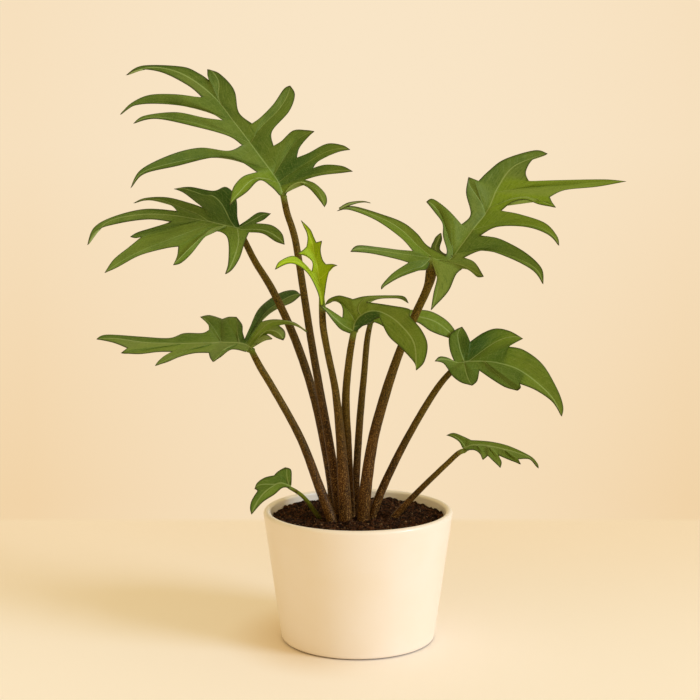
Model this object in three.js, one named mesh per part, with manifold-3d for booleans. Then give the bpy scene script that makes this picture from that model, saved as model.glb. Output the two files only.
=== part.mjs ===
// A potted alocasia brancifolia: a tapered pot, its soil and ten deeply lobed leaves on brown petioles.
// Millimetres, +Z up, +Y away from the front. The origin is the centre of the pot's underside.
import * as THREE from "three";
import { mergeVertices } from "three/addons/utils/BufferGeometryUtils.js";
import Module from "manifold-3d";

// The pot.
const POT_RIM_RADIUS = 75;
const POT_BASE_RADIUS = 61.5;
const POT_HEIGHT = 104;
const POT_WALL = 5.4;
const POT_FLOOR = 6;
const POT_FOOT_ROUND = 3.2;
const POT_SEGMENTS = 64;
const LIP_STEPS = 6;
const FOOT_STEPS = 3;

// The soil.
const SOIL_TOP = 97;
const SOIL_MOUND = 1.6;
const SOIL_RELIEF = 0.55;
const SOIL_EDGE_RELIEF = 0.16;
const SOIL_RINGS = 8;
const CLEARANCE = 0.3;

// The blades: thickness at the edge and along the veins, and the swell between them as a share of the width.
const MARGIN_THICKNESS = 0.8;
const RIB_THICKNESS = 1.5;
const QUILT = 0.05;
// How finely a lobe is divided: points from a vein to the edge, and along it.
const ROWS = 2;
const LOBE_STEP = 14;
const LEAST_STEPS = 3;
const MOST_STEPS = 7;
// Shares of the midrib are kept to this step, and no seam starts beyond the limit.
const SHARE_STEP = 0.02;
const SEAM_LIMIT = 0.7;
// A lobe bends forward towards its tip by this power of the way along; a notch follows its lobes by a share.
const BEND = 1.5;
const NOTCH_SHARE = 0.2;

// A folded lobe's middle comes forward by this share of its half width.
const RIBBON_KEEL = 0.25;

// The petioles, and the collar and rib that carry a blade.
const PETIOLE_SIDES = 8;
const PETIOLE_STEP = 18;
const PETIOLE_DEPTH = 12;
const HOLE_HEIGHT = 10;
const COLLAR_LENGTH = 8;
const COLLAR_TAPER = 0.9;
const JOINT_OVERLAP = 0.7;
const RIB_SHARE = 0.45;
const RIB_END_RADIUS = 0.75;

// The view that the outlines are drawn in: the distance and height of an eye level with the pot's axis.
const EYE_DISTANCE = 1100;
const EYE_HEIGHT = 365;

const FINISHES = {
  pot: { color: 0xf1e2c8, roughness: 0.35 },
  soil: { color: 0x3a2415, roughness: 0.95 },
  petiole: { color: 0x5e4420, roughness: 0.6 },
  greenPetiole: { color: 0x6f7a2a, roughness: 0.6 },
  blade: { color: 0x647a32, roughness: 0.45 },
  youngBlade: { color: 0x9aac1c, roughness: 0.45 },
};

// Each leaf is drawn in the front view as [x, z] points, clockwise round the blade from its petiole.
// junction: where petiole and blade meet, with its depth y. lean: depth gained per mm of x and of z.
// start, end: the blade's edge on either side of the petiole. midrib: from the junction to the main tip.
// A lobe's root is a share of the midrib, toward is how far its tip comes forward, rise and fall are its
// edges before and after the tip, and notch closes it. The lobe marked main holds the midrib's end.
// petiole: [x, z, y, radius] from the soil up to the junction.
const LEAVES = {
  upper_left: {
    junction: [-58.5, 352, 12],
    lean: [0.12, 0.5],
    start: [-60.8, 351.5],
    end: [-56.2, 351.5],
    midrib: [[-62, 362], [-77, 383], [-95, 407], [-112, 428], [-135, 444], [-158, 448.8]],
    lobes: [
      {
        root: 0.06, toward: 30, tip: [-99.5, 343.5],
        rise: [[-67, 358], [-76, 363], [-86, 354], [-96, 347]],
        fall: [[-98, 353], [-95, 360], [-88, 366.5]], notch: [-78, 369.3],
      },
      {
        root: 0.14, toward: 22, tip: [-176, 357],
        rise: [[-94, 379], [-112, 380.5], [-140, 374], [-165, 368]],
        fall: [[-168, 371], [-145, 382.5], [-122, 388], [-100, 385.7]], notch: [-89.5, 390],
      },
      {
        root: 0.27, toward: 10, tip: [-173, 406.5],
        rise: [[-100, 397], [-125, 404], [-155, 410]],
        fall: [[-164, 412.5], [-140, 415], [-118, 410.8]], notch: [-104, 409],
      },
      {
        root: 0.39, toward: 2, tip: [-183, 413],
        rise: [[-118, 416.5], [-145, 421], [-170, 420.5]],
        fall: [[-174, 422], [-160, 428], [-140, 428.5]], notch: [-119.5, 426],
      },
      {
        main: true, toward: 6, tip: [-178, 443],
        rise: [[-130, 435], [-150, 445], [-168, 447.3]],
        fall: [[-165, 450.2], [-135, 449.5], [-122, 444.5]], notch: [-113.8, 439],
      },
      {
        root: 0.5, toward: 8, tip: [-115.5, 447.5],
        rise: [[-115.2, 443]],
        fall: [[-106, 444.2], [-95, 432], [-91.5, 415]], notch: [-81.5, 406.5],
      },
      {
        root: 0.27, toward: 12, tip: [-52, 435.3],
        rise: [[-75, 411], [-65, 421], [-57, 432.5]],
        fall: [[-48.4, 428], [-53, 415.5], [-66, 400.5]], notch: [-65, 389.5],
      },
      {
        root: 0.1, toward: 15, tip: [-33.5, 400.5],
        rise: [[-59, 393], [-50, 401], [-40, 401.5]],
        fall: [[-38, 396.5], [-45, 388]], notch: [-47, 380.5],
      },
      {
        root: 0.06, toward: 20, tip: [-6, 386.5],
        rise: [[-38, 384], [-24, 391], [-12, 390]],
        fall: [[-16, 384.5], [-30, 378]], notch: [-34.5, 372.5],
      },
      {
        root: 0.03, toward: 24, tip: [-4, 370],
        rise: [[-25, 375], [-12, 374]],
        fall: [[-12, 368.8], [-28, 367]], notch: [-41, 363.5],
      },
      {
        root: 0, toward: 26, tip: [-26, 342.3],
        vein: [[-50, 359.3], [-42, 361], [-32, 355.5], [-27.5, 348]],
        rise: [[-33, 360.5], [-25.5, 353], [-24, 346.5]],
        fall: [[-30, 348], [-38, 357], [-46, 360.3], [-52, 358]],
      },
    ],
    petiole: [
      [-15, 97, 2, 4.4], [-17.2, 120, 2.5, 4], [-23.3, 160, 4, 3.5], [-30.2, 200, 6, 3.2],
      [-37, 240, 8, 3], [-43, 280, 10, 2.9], [-49.4, 320, 12, 2.7], [-55, 338, 12, 2.6],
      [-58.5, 352, 12, 2.5],
    ],
  },
  middle_left: {
    junction: [-91, 325, 45],
    lean: [0.06, 0.85],
    start: [-84.5, 323],
    end: [-84.5, 323],
    midrib: [[-97, 327], [-120, 332], [-145, 336], [-170, 336.5], [-195, 330.5]],
    lobes: [
      {
        root: 0.02, toward: 22, tip: [-103.5, 290.5],
        rise: [[-88, 315], [-92, 303], [-98, 294]],
        fall: [[-101, 300], [-101, 317], [-106, 323]], notch: [-115, 324],
      },
      {
        root: 0.08, toward: 20, tip: [-144, 297.5], vein: [[-112, 325.5], [-122, 318.6], [-132, 309.5]],
        rise: [[-120, 318.5], [-130, 306], [-138, 299]],
        fall: [[-140.5, 305]], notch: [-139.5, 312],
      },
      {
        root: 0.16, toward: 22, tip: [-197.5, 291.5],
        rise: [[-150, 310.5], [-170, 305], [-188, 295.5]],
        fall: [[-190, 302], [-178, 311.5]], notch: [-168, 319.5],
      },
      {
        root: 0.24, toward: 10, tip: [-177, 319.5],
        rise: [[-172.5, 318.6]],
        fall: [[-171, 323], [-158, 327]], notch: [-145, 331],
      },
      {
        main: true, toward: 18, tip: [-210.5, 313],
        rise: [[-162, 333], [-185, 330], [-204, 324]],
        fall: [[-205, 326.5], [-190, 335], [-165, 341]], notch: [-140, 339.5],
      },
      {
        root: 0.2, toward: 4, tip: [-174, 345.5],
        vein: [[-125, 337], [-140, 343], [-152, 347.6], [-165, 348.4]],
        rise: [[-147, 345.3], [-162, 348.2]],
        fall: [[-165, 349.4], [-148, 350], [-130, 345.5]], notch: [-118.5, 341.5],
      },
      {
        root: 0.05, toward: -2, tip: [-142.5, 356.5],
        rise: [[-125, 346], [-135, 353.5]],
        fall: [[-130, 358], [-112, 355], [-102, 358], [-94.5, 350], [-93.5, 335]], notch: [-92, 328.5],
      },
      {
        root: 0.02, toward: 2, tip: [-67.5, 337.5],
        rise: [[-86, 332.5], [-77, 338.3]],
        fall: [[-73, 332.8]], notch: [-79.5, 330],
      },
      {
        root: 0, toward: 14, tip: [-57, 313.5],
        rise: [[-67, 328.5], [-59, 322]],
        fall: [[-64, 315.8], [-74, 322]],
      },
    ],
    petiole: [
      [-19.5, 97, 11, 4.3], [-20.4, 120, 12, 4], [-27.2, 160, 15, 3.6], [-36.3, 200, 19, 3.4],
      [-49.6, 240, 26, 3.3], [-67.8, 280, 34, 3], [-80, 300, 40, 2.7], [-87, 314, 46, 2.6],
      [-91, 325, 45.5, 2.4],
    ],
  },
  lower_left: {
    junction: [-85, 232, -18],
    lean: [0, 1.8],
    start: [-88, 229.5],
    end: [-82.4, 233.5],
    midrib: [[-92, 236], [-110, 236.5], [-135, 236], [-165, 236.5], [-190, 239.8]],
    lobes: [
      {
        root: 0.08, toward: 8, tip: [-114, 221.5],
        rise: [[-99, 231.3], [-108, 225.2]], fall: [[-116, 225]], notch: [-117, 228.8],
      },
      {
        root: 0.24, toward: 12, tip: [-159.5, 218.5],
        rise: [[-128, 228.5], [-140, 225.5], [-150, 221.3]],
        fall: [[-156.5, 222.5], [-151, 227]], notch: [-146, 229.5],
      },
      {
        root: 0.45, toward: 8, tip: [-186, 228.5],
        rise: [[-157, 229.4], [-172, 227.8]], fall: [], notch: [-181, 232.5],
      },
      {
        main: true, toward: 14, tip: [-205, 239.5],
        rise: [[-192, 236.8]],
        fall: [[-197, 243], [-170, 241.5], [-148, 240.4], [-136, 244.3], [-122, 244.4]], notch: [-116.5, 247],
      },
      {
        root: 0.2, toward: 4, tip: [-123.5, 257],
        rise: [[-117.5, 252]], fall: [[-116, 258.5]], notch: [-106, 255.5],
      },
      {
        root: 0.08, toward: 4, tip: [-95, 257],
        rise: [[-101, 257.2]], fall: [[-90.6, 251], [-90.2, 245]], notch: [-88.8, 239.5],
      },
      {
        root: 0.03, toward: -6, tip: [-44.5, 274],
        rise: [[-84.5, 249], [-77, 264], [-62, 275.3], [-50, 278]],
        fall: [[-52, 268], [-64, 263.3], [-72, 258]], notch: [-75.5, 253.5],
      },
      {
        root: 0.02, toward: 24, tip: [-39, 244.5],
        vein: [[-76, 247], [-68, 252.8], [-57, 253.8], [-47, 250.6]],
        rise: [[-65, 255.2], [-50, 252.8]], fall: [[-48, 249.6], [-58, 252.6]], notch: [-64.5, 252.4],
      },
      {
        root: 0.01, toward: 30, tip: [-58.5, 238.5], vein: [[-73, 245.6], [-66, 247.2], [-60.5, 243.5]],
        rise: [[-58, 247], [-56.8, 242]], fall: [[-64, 240.6], [-69.5, 244]], notch: [-75, 244.4],
      },
      {
        root: 0, toward: 34, tip: [-67, 239.9],
        rise: [[-71, 243]], fall: [[-74, 238.8]],
      },
    ],
    petiole: [
      [-21.5, 97, -17, 4], [-30.2, 120, -15, 3.8], [-45.2, 160, -15, 3.1], [-66.6, 200, -17, 2.8],
      [-77.2, 218, -18, 2.7], [-85, 232, -18.5, 2.4],
    ],
  },
  small_left: {
    junction: [-53.6, 121.8, -30],
    lean: [0, 0.9],
    start: [-54.6, 120.6],
    end: [-53, 123],
    midrib: [[-62, 124.5], [-72, 119], [-80, 109.5]],
    lobes: [
      {
        main: true, toward: 4, tip: [-84.8, 99],
        rise: [[-60, 120.6], [-66.5, 115.2], [-76, 108.8]],
        fall: [[-85.9, 104], [-84.5, 110.5]], notch: [-79.8, 118.2],
      },
      {
        root: 0.3, toward: 0, tip: [-82.2, 119.7],
        rise: [[-80.8, 119.4]], fall: [[-80, 124.7], [-74, 129]], notch: [-66.5, 130.8],
      },
      {
        root: 0.05, toward: 2, tip: [-57.7, 137.3],
        rise: [[-63.5, 134]], fall: [[-53.2, 135.5], [-52.6, 129]],
      },
    ],
    petiole: [
      [-31, 97, -4, 1.9], [-36, 103.8, -9, 1.8], [-40.3, 110, -14.5, 1.6], [-46.8, 116.3, -22, 1.5],
      [-53.6, 121.8, -30, 1.4],
    ],
  },
  young: {
    junction: [-28.2, 266.5, -26],
    lean: [0, 0.12],
    start: [-29.4, 266],
    end: [-27, 266],
    midrib: [[-29.3, 280], [-31.5, 295], [-34, 308], [-36.5, 318]],
    lobes: [
      {
        root: 0.2, toward: 20, tip: [-64.8, 294],
        rise: [[-32, 277.5], [-40, 292], [-52, 298.8]],
        fall: [[-61, 300.5], [-50, 304.7], [-40.5, 297.8]], notch: [-36.3, 291.8],
      },
      {
        root: 0.45, toward: 8, tip: [-47.5, 306.3],
        rise: [[-35.3, 299], [-39.5, 304.6]], fall: [[-43, 309.2]], notch: [-40, 312],
      },
      {
        main: true, toward: 3, tip: [-44.3, 332.5],
        rise: [[-39.2, 319], [-41, 326.5]], fall: [[-37.2, 325.5], [-34.4, 319.5]], notch: [-32.5, 315.3],
      },
      {
        root: 0.5, toward: 8, tip: [-28.2, 316.5],
        rise: [], fall: [[-29.1, 309], [-27.6, 302]], notch: [-25, 298.3],
      },
      {
        root: 0.3, toward: 12, tip: [-16, 297.3],
        rise: [[-20, 298.5]], fall: [[-20.5, 296], [-23.6, 289], [-25.9, 275]],
      },
    ],
    petiole: [
      [-9.8, 97, -15, 5.2], [-11.9, 130, -16.5, 4.6], [-13.8, 160, -18, 3.7], [-18, 200, -20, 2.85],
      [-24, 230, -22.5, 2.65], [-27.4, 250, -24.5, 2.7], [-28.2, 266.5, -26, 2.6],
    ],
  },
  front_centre: {
    junction: [-3.8, 246, -30],
    lean: [-0.3, 0.45],
    start: [-6.4, 244],
    end: [-1.3, 245.4],
    midrib: [[-2, 253], [3, 258.6], [11, 261.6], [21, 259.5], [33, 251], [44, 236]],
    lobes: [
      {
        root: 0, toward: 22, tip: [-29.8, 265.9],
        rise: [[-13.2, 246.8], [-18.7, 252.6], [-25, 261]],
        fall: [[-25, 264.6], [-18, 260.2]], notch: [-12.2, 256.3],
      },
      {
        root: 0.08, toward: -10, tip: [-25.8, 266.3],
        rise: [[-12.2, 264], [-16.5, 270.3], [-22, 267.8]],
        fall: [[-22.8, 271], [-15.5, 273.8], [-9, 272.7]], notch: [-4, 271],
      },
      {
        root: 0.16, toward: -12, tip: [39.6, 267.6], vein: [[0, 263], [5, 271], [20, 272.7], [33, 272]],
        rise: [[6, 273.3], [25, 273.9], [36, 273]],
        fall: [[35, 271.2], [20, 271.6], [10, 270.4]], notch: [6.5, 268.8],
      },
      {
        main: true, toward: 24, tip: [45.6, 214.7],
        rise: [[24, 266.3], [40.2, 263.2], [40.7, 258], [50, 246.5], [54.5, 235], [52, 221.5]],
        fall: [[44, 221], [33, 233.2], [23.5, 242.5]], notch: [16.8, 256.5],
      },
      {
        root: 0.04, toward: -6, tip: [9.5, 251.3],
        rise: [[12.6, 254.8]], fall: [[4, 249.9]],
      },
    ],
    petiole: [
      [-5.5, 97, -1, 3.5], [-7, 130, -4.5, 3.3], [-8.4, 160, -8, 3.3], [-9.6, 180, -11, 3.3],
      [-9.3, 200, -15, 3], [-6.1, 230, -25, 2.7], [-3.8, 246, -30, 2.5],
    ],
  },
  back_centre: {
    junction: [8.8, 254, 13],
    lean: [0.15, 0.6],
    start: [7, 253],
    end: [10.8, 253.4],
    midrib: [[15, 258], [30, 258.8], [46, 257.4], [62, 252.3]],
    lobes: [
      {
        root: 0, toward: -26, tip: [-2, 262],
        rise: [[2, 256.5]], fall: [[4, 263.5]], notch: [9, 261.5],
      },
      {
        root: 0.06, toward: -62, tip: [24, 266.3],
        rise: [[14, 265.2]], fall: [[24.5, 264.3]], notch: [24, 262.3],
      },
      {
        main: true, toward: -4, tip: [78.5, 238.5],
        rise: [[42, 262.6], [56, 261.6], [68, 255.3], [75.5, 247]],
        fall: [[70, 240.8], [57, 245.8], [46, 252.8]], notch: [33, 253.5],
      },
      {
        root: 0.1, toward: 4, tip: [41.5, 234],
        rise: [[39.5, 243.5]], fall: [[31, 240], [19, 250]],
      },
    ],
    petiole: [
      [-2.5, 97, 11, 3.1], [-1.4, 130, 11, 3], [1.8, 180, 11, 2.85], [4.8, 212, 11.5, 2.6],
      [7.3, 240, 13, 2.4], [8.8, 254, 14, 2.1],
    ],
  },
  upper_right: {
    junction: [56.6, 303, -20],
    lean: [0.06, 0.55],
    start: [56.6, 303],
    end: [56.6, 303],
    midrib: [[64, 301], [72, 302], [80.5, 313], [90, 326], [100.5, 339.7], [108, 357], [120.6, 373.7]],
    lobes: [
      {
        root: 0, toward: 24, tip: [18.3, 278.5],
        rise: [[54, 294.5], [46.5, 293], [33, 288], [22, 281.8]],
        fall: [[18.6, 282], [27.1, 291.4]], notch: [39.2, 299.5],
      },
      {
        root: 0.005, toward: 22, tip: [-6, 308],
        rise: [[29.8, 302.3], [10, 306.6]],
        fall: [[0, 312.8], [18, 311.3], [30, 309.7]], notch: [42.4, 308.7],
      },
      {
        root: 0.015, toward: 12, tip: [-16.5, 339.5],
        rise: [[33, 319], [14, 332.3], [-6, 340.2]],
        fall: [[-4, 343.2], [22, 335.8], [36, 330], [46, 322], [54, 312.8]], notch: [68.3, 304.9],
      },
      {
        root: 0.14, toward: 6, tip: [52.8, 346.6],
        rise: [[69, 309.5], [66, 320], [65.4, 330], [59, 339]],
        fall: [[58, 348.7], [69, 341]], notch: [80.2, 329.2],
      },
      {
        root: 0.46, toward: 8, tip: [85.5, 365.6],
        rise: [[87.2, 337], [83.6, 353.5]], fall: [], notch: [93.1, 362.6],
      },
      {
        main: true, toward: 6, tip: [146.3, 383.5],
        rise: [[100.5, 370], [113, 379.2], [136, 386]],
        fall: [[135, 379], [129.6, 369.5]], notch: [132, 362.4],
      },
      {
        root: 0.6, toward: 10, tip: [207.5, 362.3],
        rise: [[155, 363.2], [190, 363.8]], fall: [[185, 358.2], [160, 355.6]], notch: [148.2, 350.2],
      },
      {
        root: 0.5, toward: 8, tip: [153.5, 342.2],
        vein: [[112, 346.2], [120, 348.8], [130, 349.7], [142, 347]],
        rise: [[150, 346.5]], fall: [[140, 344.6], [130, 348.4], [120, 346.6]], notch: [111.2, 339.7],
      },
      {
        root: 0.34, toward: 22, tip: [156.4, 312.5],
        rise: [[126, 336.8], [145, 330.3], [154.7, 320]],
        fall: [[147, 321.5], [130, 327.2], [108, 327.2]], notch: [95, 320.4],
      },
      {
        root: 0.17, toward: 26, tip: [144.5, 282.5],
        rise: [[110, 318], [130, 307.5], [143, 295]],
        fall: [[136, 293.4], [118, 303], [98, 309]], notch: [82.6, 303.4],
      },
      {
        root: 0.04, toward: 24, tip: [98, 288.6],
        rise: [[91, 299.5]], fall: [[93, 288.3], [87, 293.5]], notch: [81.5, 294.8],
      },
      {
        root: 0, toward: 24, tip: [56.9, 262.2],
        rise: [[76.3, 290], [70, 276.5]],
        fall: [[59, 276], [61.6, 288.5], [58.6, 298]],
      },
    ],
    petiole: [
      [4.2, 97, -14, 4.9], [6, 120, -14.5, 4.8], [12, 160, -15.5, 4.2], [22.7, 200, -16.5, 3.8],
      [32.8, 230, -18, 3.3], [45.3, 260, -19, 3.1], [54.2, 280, -20, 3.3], [56.8, 291, -19.5, 4.2],
      [56.8, 303, -19, 3],
    ],
  },
  middle_right: {
    junction: [79.5, 220.6, 2],
    lean: [0, 0.6],
    start: [70.5, 216],
    end: [70.5, 216],
    midrib: [[89, 222], [100, 222], [111, 220.3], [125, 215.8], [139, 206.4], [153, 193]],
    lobes: [
      {
        root: 0.01, toward: 6, tip: [60.2, 222],
        rise: [[66.5, 220.7]], fall: [[64, 225.7], [70.5, 224.8]], notch: [75.6, 221.8],
      },
      {
        root: 0.03, toward: -2, tip: [81.5, 249.3],
        rise: [[72, 231], [71.3, 241.5], [76, 246.6]], fall: [[85, 244]], notch: [87.8, 237.6],
      },
      {
        root: 0.08, toward: 4, tip: [129.4, 239.9],
        rise: [[98, 244.6], [108, 247.9], [119, 245.8]], fall: [[123, 236.8]], notch: [117.8, 233.7],
      },
      {
        main: true, toward: 14, tip: [160.9, 178],
        rise: [[130, 231], [145, 219.5], [157, 199.5], [161.7, 186]],
        fall: [[153, 189.8], [140, 199]], notch: [127.2, 204.2],
      },
      {
        root: 0.2, toward: 8, tip: [125.8, 198.8],
        rise: [[127.9, 201.5]], fall: [[116, 201.4], [105, 208]], notch: [95.3, 214.7],
      },
      {
        root: 0.03, toward: 8, tip: [89.9, 202.8],
        rise: [[93.7, 206.5]], fall: [[81, 205.3], [74, 210.6]],
      },
    ],
    petiole: [
      [10.6, 97, -4, 3.6], [19.3, 120, -3, 3.3], [38.5, 160, -1, 2.9], [61.9, 200, 3, 2.6],
      [72.4, 213, 6, 2.4], [79.5, 220.6, 3, 2.2],
    ],
  },
  small_right: {
    junction: [84, 152.3, -12],
    lean: [-0.05, 1.5],
    start: [82.6, 153],
    end: [85.4, 150.9],
    midrib: [[90, 155], [100, 155], [112, 152.6], [125, 149.2], [136, 145]],
    lobes: [
      {
        root: 0.02, toward: -4, tip: [69.8, 163],
        rise: [[79.8, 158], [74.5, 161.5]], fall: [[75.5, 165], [83, 162.3]], notch: [89.5, 159.1],
      },
      {
        main: true, toward: 6, tip: [143.2, 136.4],
        rise: [[105, 158], [120, 154.2], [136, 146.6], [142, 140.6]],
        fall: [[136.5, 143.5]], notch: [126.8, 144],
      },
      {
        root: 0.5, toward: 4, tip: [129, 139.7],
        rise: [], fall: [[120, 143.2]], notch: [111.2, 147],
      },
      {
        root: 0.3, toward: 4, tip: [112.8, 136.9],
        rise: [[113.7, 141.5]], fall: [], notch: [102.6, 146.7],
      },
      {
        root: 0.15, toward: 4, tip: [99, 143.3],
        rise: [], fall: [[96, 148.6], [91.5, 151.2]],
      },
    ],
    petiole: [
      [28.5, 97, -8, 2.7], [50, 120, -10, 2.3], [70.3, 140, -11.5, 2.1],
      [80, 149, -12, 2], [84, 152.3, -12.2, 1.9],
    ],
  },
};

// Folded lobes of the upper right leaf, as ribbons of [x, z, y, half width]: one bends up behind the crest,
// one doubles back from the tip of the longest left lobe.
const FOLDED_LOBES = {
  upper_right: [
    [
      [73, 303.4, -18.8, 1.6], [66.5, 304.8, -14.5, 2], [61.8, 307.4, -11, 3], [60.2, 311, -9.5, 3.5],
      [61.3, 314.6, -8.5, 3], [62.8, 318.4, -8, 2.7], [64.3, 322.3, -7.5, 0.4],
    ],
    [
      [-14.5, 341, -15.8, 0.9], [-8, 344.4, -14.6, 1.4], [-1, 346.2, -13, 0.9], [5, 346.6, -12, 0.5],
      [9.7, 345.6, -11.5, 0.2],
    ],
  ],
};

const wasm = await Module();
wasm.setup();

function lerp(a, b, t) {
  return a + (b - a) * t;
}

// A front-view point [x, z] at depth y, as a point in space.
function seen([x, z], y) {
  const scale = 1 + y / EYE_DISTANCE;
  return new THREE.Vector3(x * scale, y, EYE_HEIGHT + (z - EYE_HEIGHT) * scale);
}

function curveThrough(points) {
  return new THREE.SplineCurve(points.map(([x, z]) => new THREE.Vector2(x, z)));
}

function solidOf(geometry) {
  const bare = geometry.clone();
  bare.deleteAttribute("normal");
  bare.deleteAttribute("uv");
  const merged = mergeVertices(bare, 1e-4);
  return new wasm.Manifold(
    new wasm.Mesh({
      numProp: 3,
      vertProperties: merged.getAttribute("position").array,
      triVerts: new Uint32Array(merged.index.array),
    }),
  );
}

function solidFrom(points, faces) {
  const geometry = new THREE.BufferGeometry().setFromPoints(points);
  geometry.setIndex(faces.flat());
  return solidOf(geometry);
}

function meshOf(name, solid, finish) {
  const result = solid.getMesh();
  const geometry = new THREE.BufferGeometry();
  geometry.setAttribute("position", new THREE.BufferAttribute(result.vertProperties, 3));
  geometry.setIndex(new THREE.BufferAttribute(result.triVerts, 1));
  geometry.computeVertexNormals();
  const material = new THREE.MeshStandardMaterial({ ...FINISHES[finish], metalness: 0 });
  const mesh = new THREE.Mesh(geometry, material);
  mesh.name = name;
  return mesh;
}

// One surface without thickness: its points, how far each lies from a vein, and its triangles.
class Sheet {
  constructor() {
    this.points = [];
    this.insets = [];
    this.triangles = [];
    this.known = new Map();
  }

  // Points that coincide are joined. inset is 0 on a vein and 1 at the edge.
  vertex(point, inset) {
    const key = point.toArray().map((n) => Math.round(n * 100)).join(" ");
    if (!this.known.has(key)) {
      this.known.set(key, this.points.length);
      this.points.push(point);
      this.insets.push(inset);
    }
    return this.known.get(key);
  }

  // A grid of rows of points; a row runs outwards from a vein. turned swaps the side that faces the front.
  addGrid(rows, turned) {
    const ids = rows.map((row) => row.map((point, i) => this.vertex(point, i / (row.length - 1))));
    for (let u = 0; u + 1 < ids.length; u++) {
      for (let v = 0; v + 1 < ids[u].length; v++) {
        const [a, b, c, d] = [ids[u][v], ids[u + 1][v], ids[u + 1][v + 1], ids[u][v + 1]];
        this.addTriangle(turned ? [a, c, b] : [a, b, c]);
        this.addTriangle(turned ? [a, d, c] : [a, c, d]);
      }
    }
  }

  addTriangle([a, b, c]) {
    if (a !== b && b !== c && c !== a) this.triangles.push([a, b, c]);
  }

  normals() {
    const geometry = new THREE.BufferGeometry().setFromPoints(this.points);
    geometry.setIndex(this.triangles.flat());
    geometry.computeVertexNormals();
    const normal = geometry.getAttribute("normal");
    return this.points.map((_, i) => new THREE.Vector3().fromBufferAttribute(normal, i));
  }

  // Both faces, split into the same triangles, and a wall along every open edge.
  thickened() {
    const normals = this.normals();
    const count = this.points.length;
    const half = MARGIN_THICKNESS / 2;
    const front = this.points.map((point, i) => point.clone().addScaledVector(normals[i], half));
    const back = front.map((point, i) => {
      const thickness = lerp(RIB_THICKNESS, MARGIN_THICKNESS, Math.min(1, ROWS * this.insets[i]));
      return point.clone().addScaledVector(normals[i], -thickness);
    });
    const faces = [];
    const openEdges = new Set();
    for (const [a, b, c] of this.triangles) {
      faces.push([a, b, c], [c + count, b + count, a + count]);
      for (const [from, to] of [[a, b], [b, c], [c, a]]) {
        if (!openEdges.delete(`${to} ${from}`)) openEdges.add(`${from} ${to}`);
      }
    }
    for (const edge of openEdges) {
      const [from, to] = edge.split(" ").map(Number);
      faces.push([to, from, from + count], [to, from + count, to + count]);
    }
    return solidFrom([...front, ...back], faces);
  }
}

// A closed tube with a ring of radius radii[i] round points[i], square to directions[i].
function taperedTube(points, directions, radii) {
  const ring = [];
  let across = new THREE.Vector3(1, 1, 0);
  points.forEach((point, i) => {
    const along = directions[i].clone().normalize();
    across = across.clone().addScaledVector(along, -across.dot(along)).normalize();
    const third = new THREE.Vector3().crossVectors(along, across);
    for (let k = 0; k < PETIOLE_SIDES; k++) {
      const turn = (2 * Math.PI * k) / PETIOLE_SIDES;
      const spoke = across.clone().multiplyScalar(Math.cos(turn)).addScaledVector(third, Math.sin(turn));
      ring.push(point.clone().addScaledVector(spoke, radii[i]));
    }
  });
  const faces = [];
  const top = (points.length - 1) * PETIOLE_SIDES;
  for (let i = 0; i < top; i += PETIOLE_SIDES) {
    for (let k = 0; k < PETIOLE_SIDES; k++) {
      const a = i + k;
      const b = i + ((k + 1) % PETIOLE_SIDES);
      faces.push([a, b, b + PETIOLE_SIDES], [a, b + PETIOLE_SIDES, a + PETIOLE_SIDES]);
    }
  }
  for (let k = 1; k < PETIOLE_SIDES - 1; k++) {
    faces.push([0, k + 1, k], [top, top + k, top + k + 1]);
  }
  return solidFrom(ring, faces);
}

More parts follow.
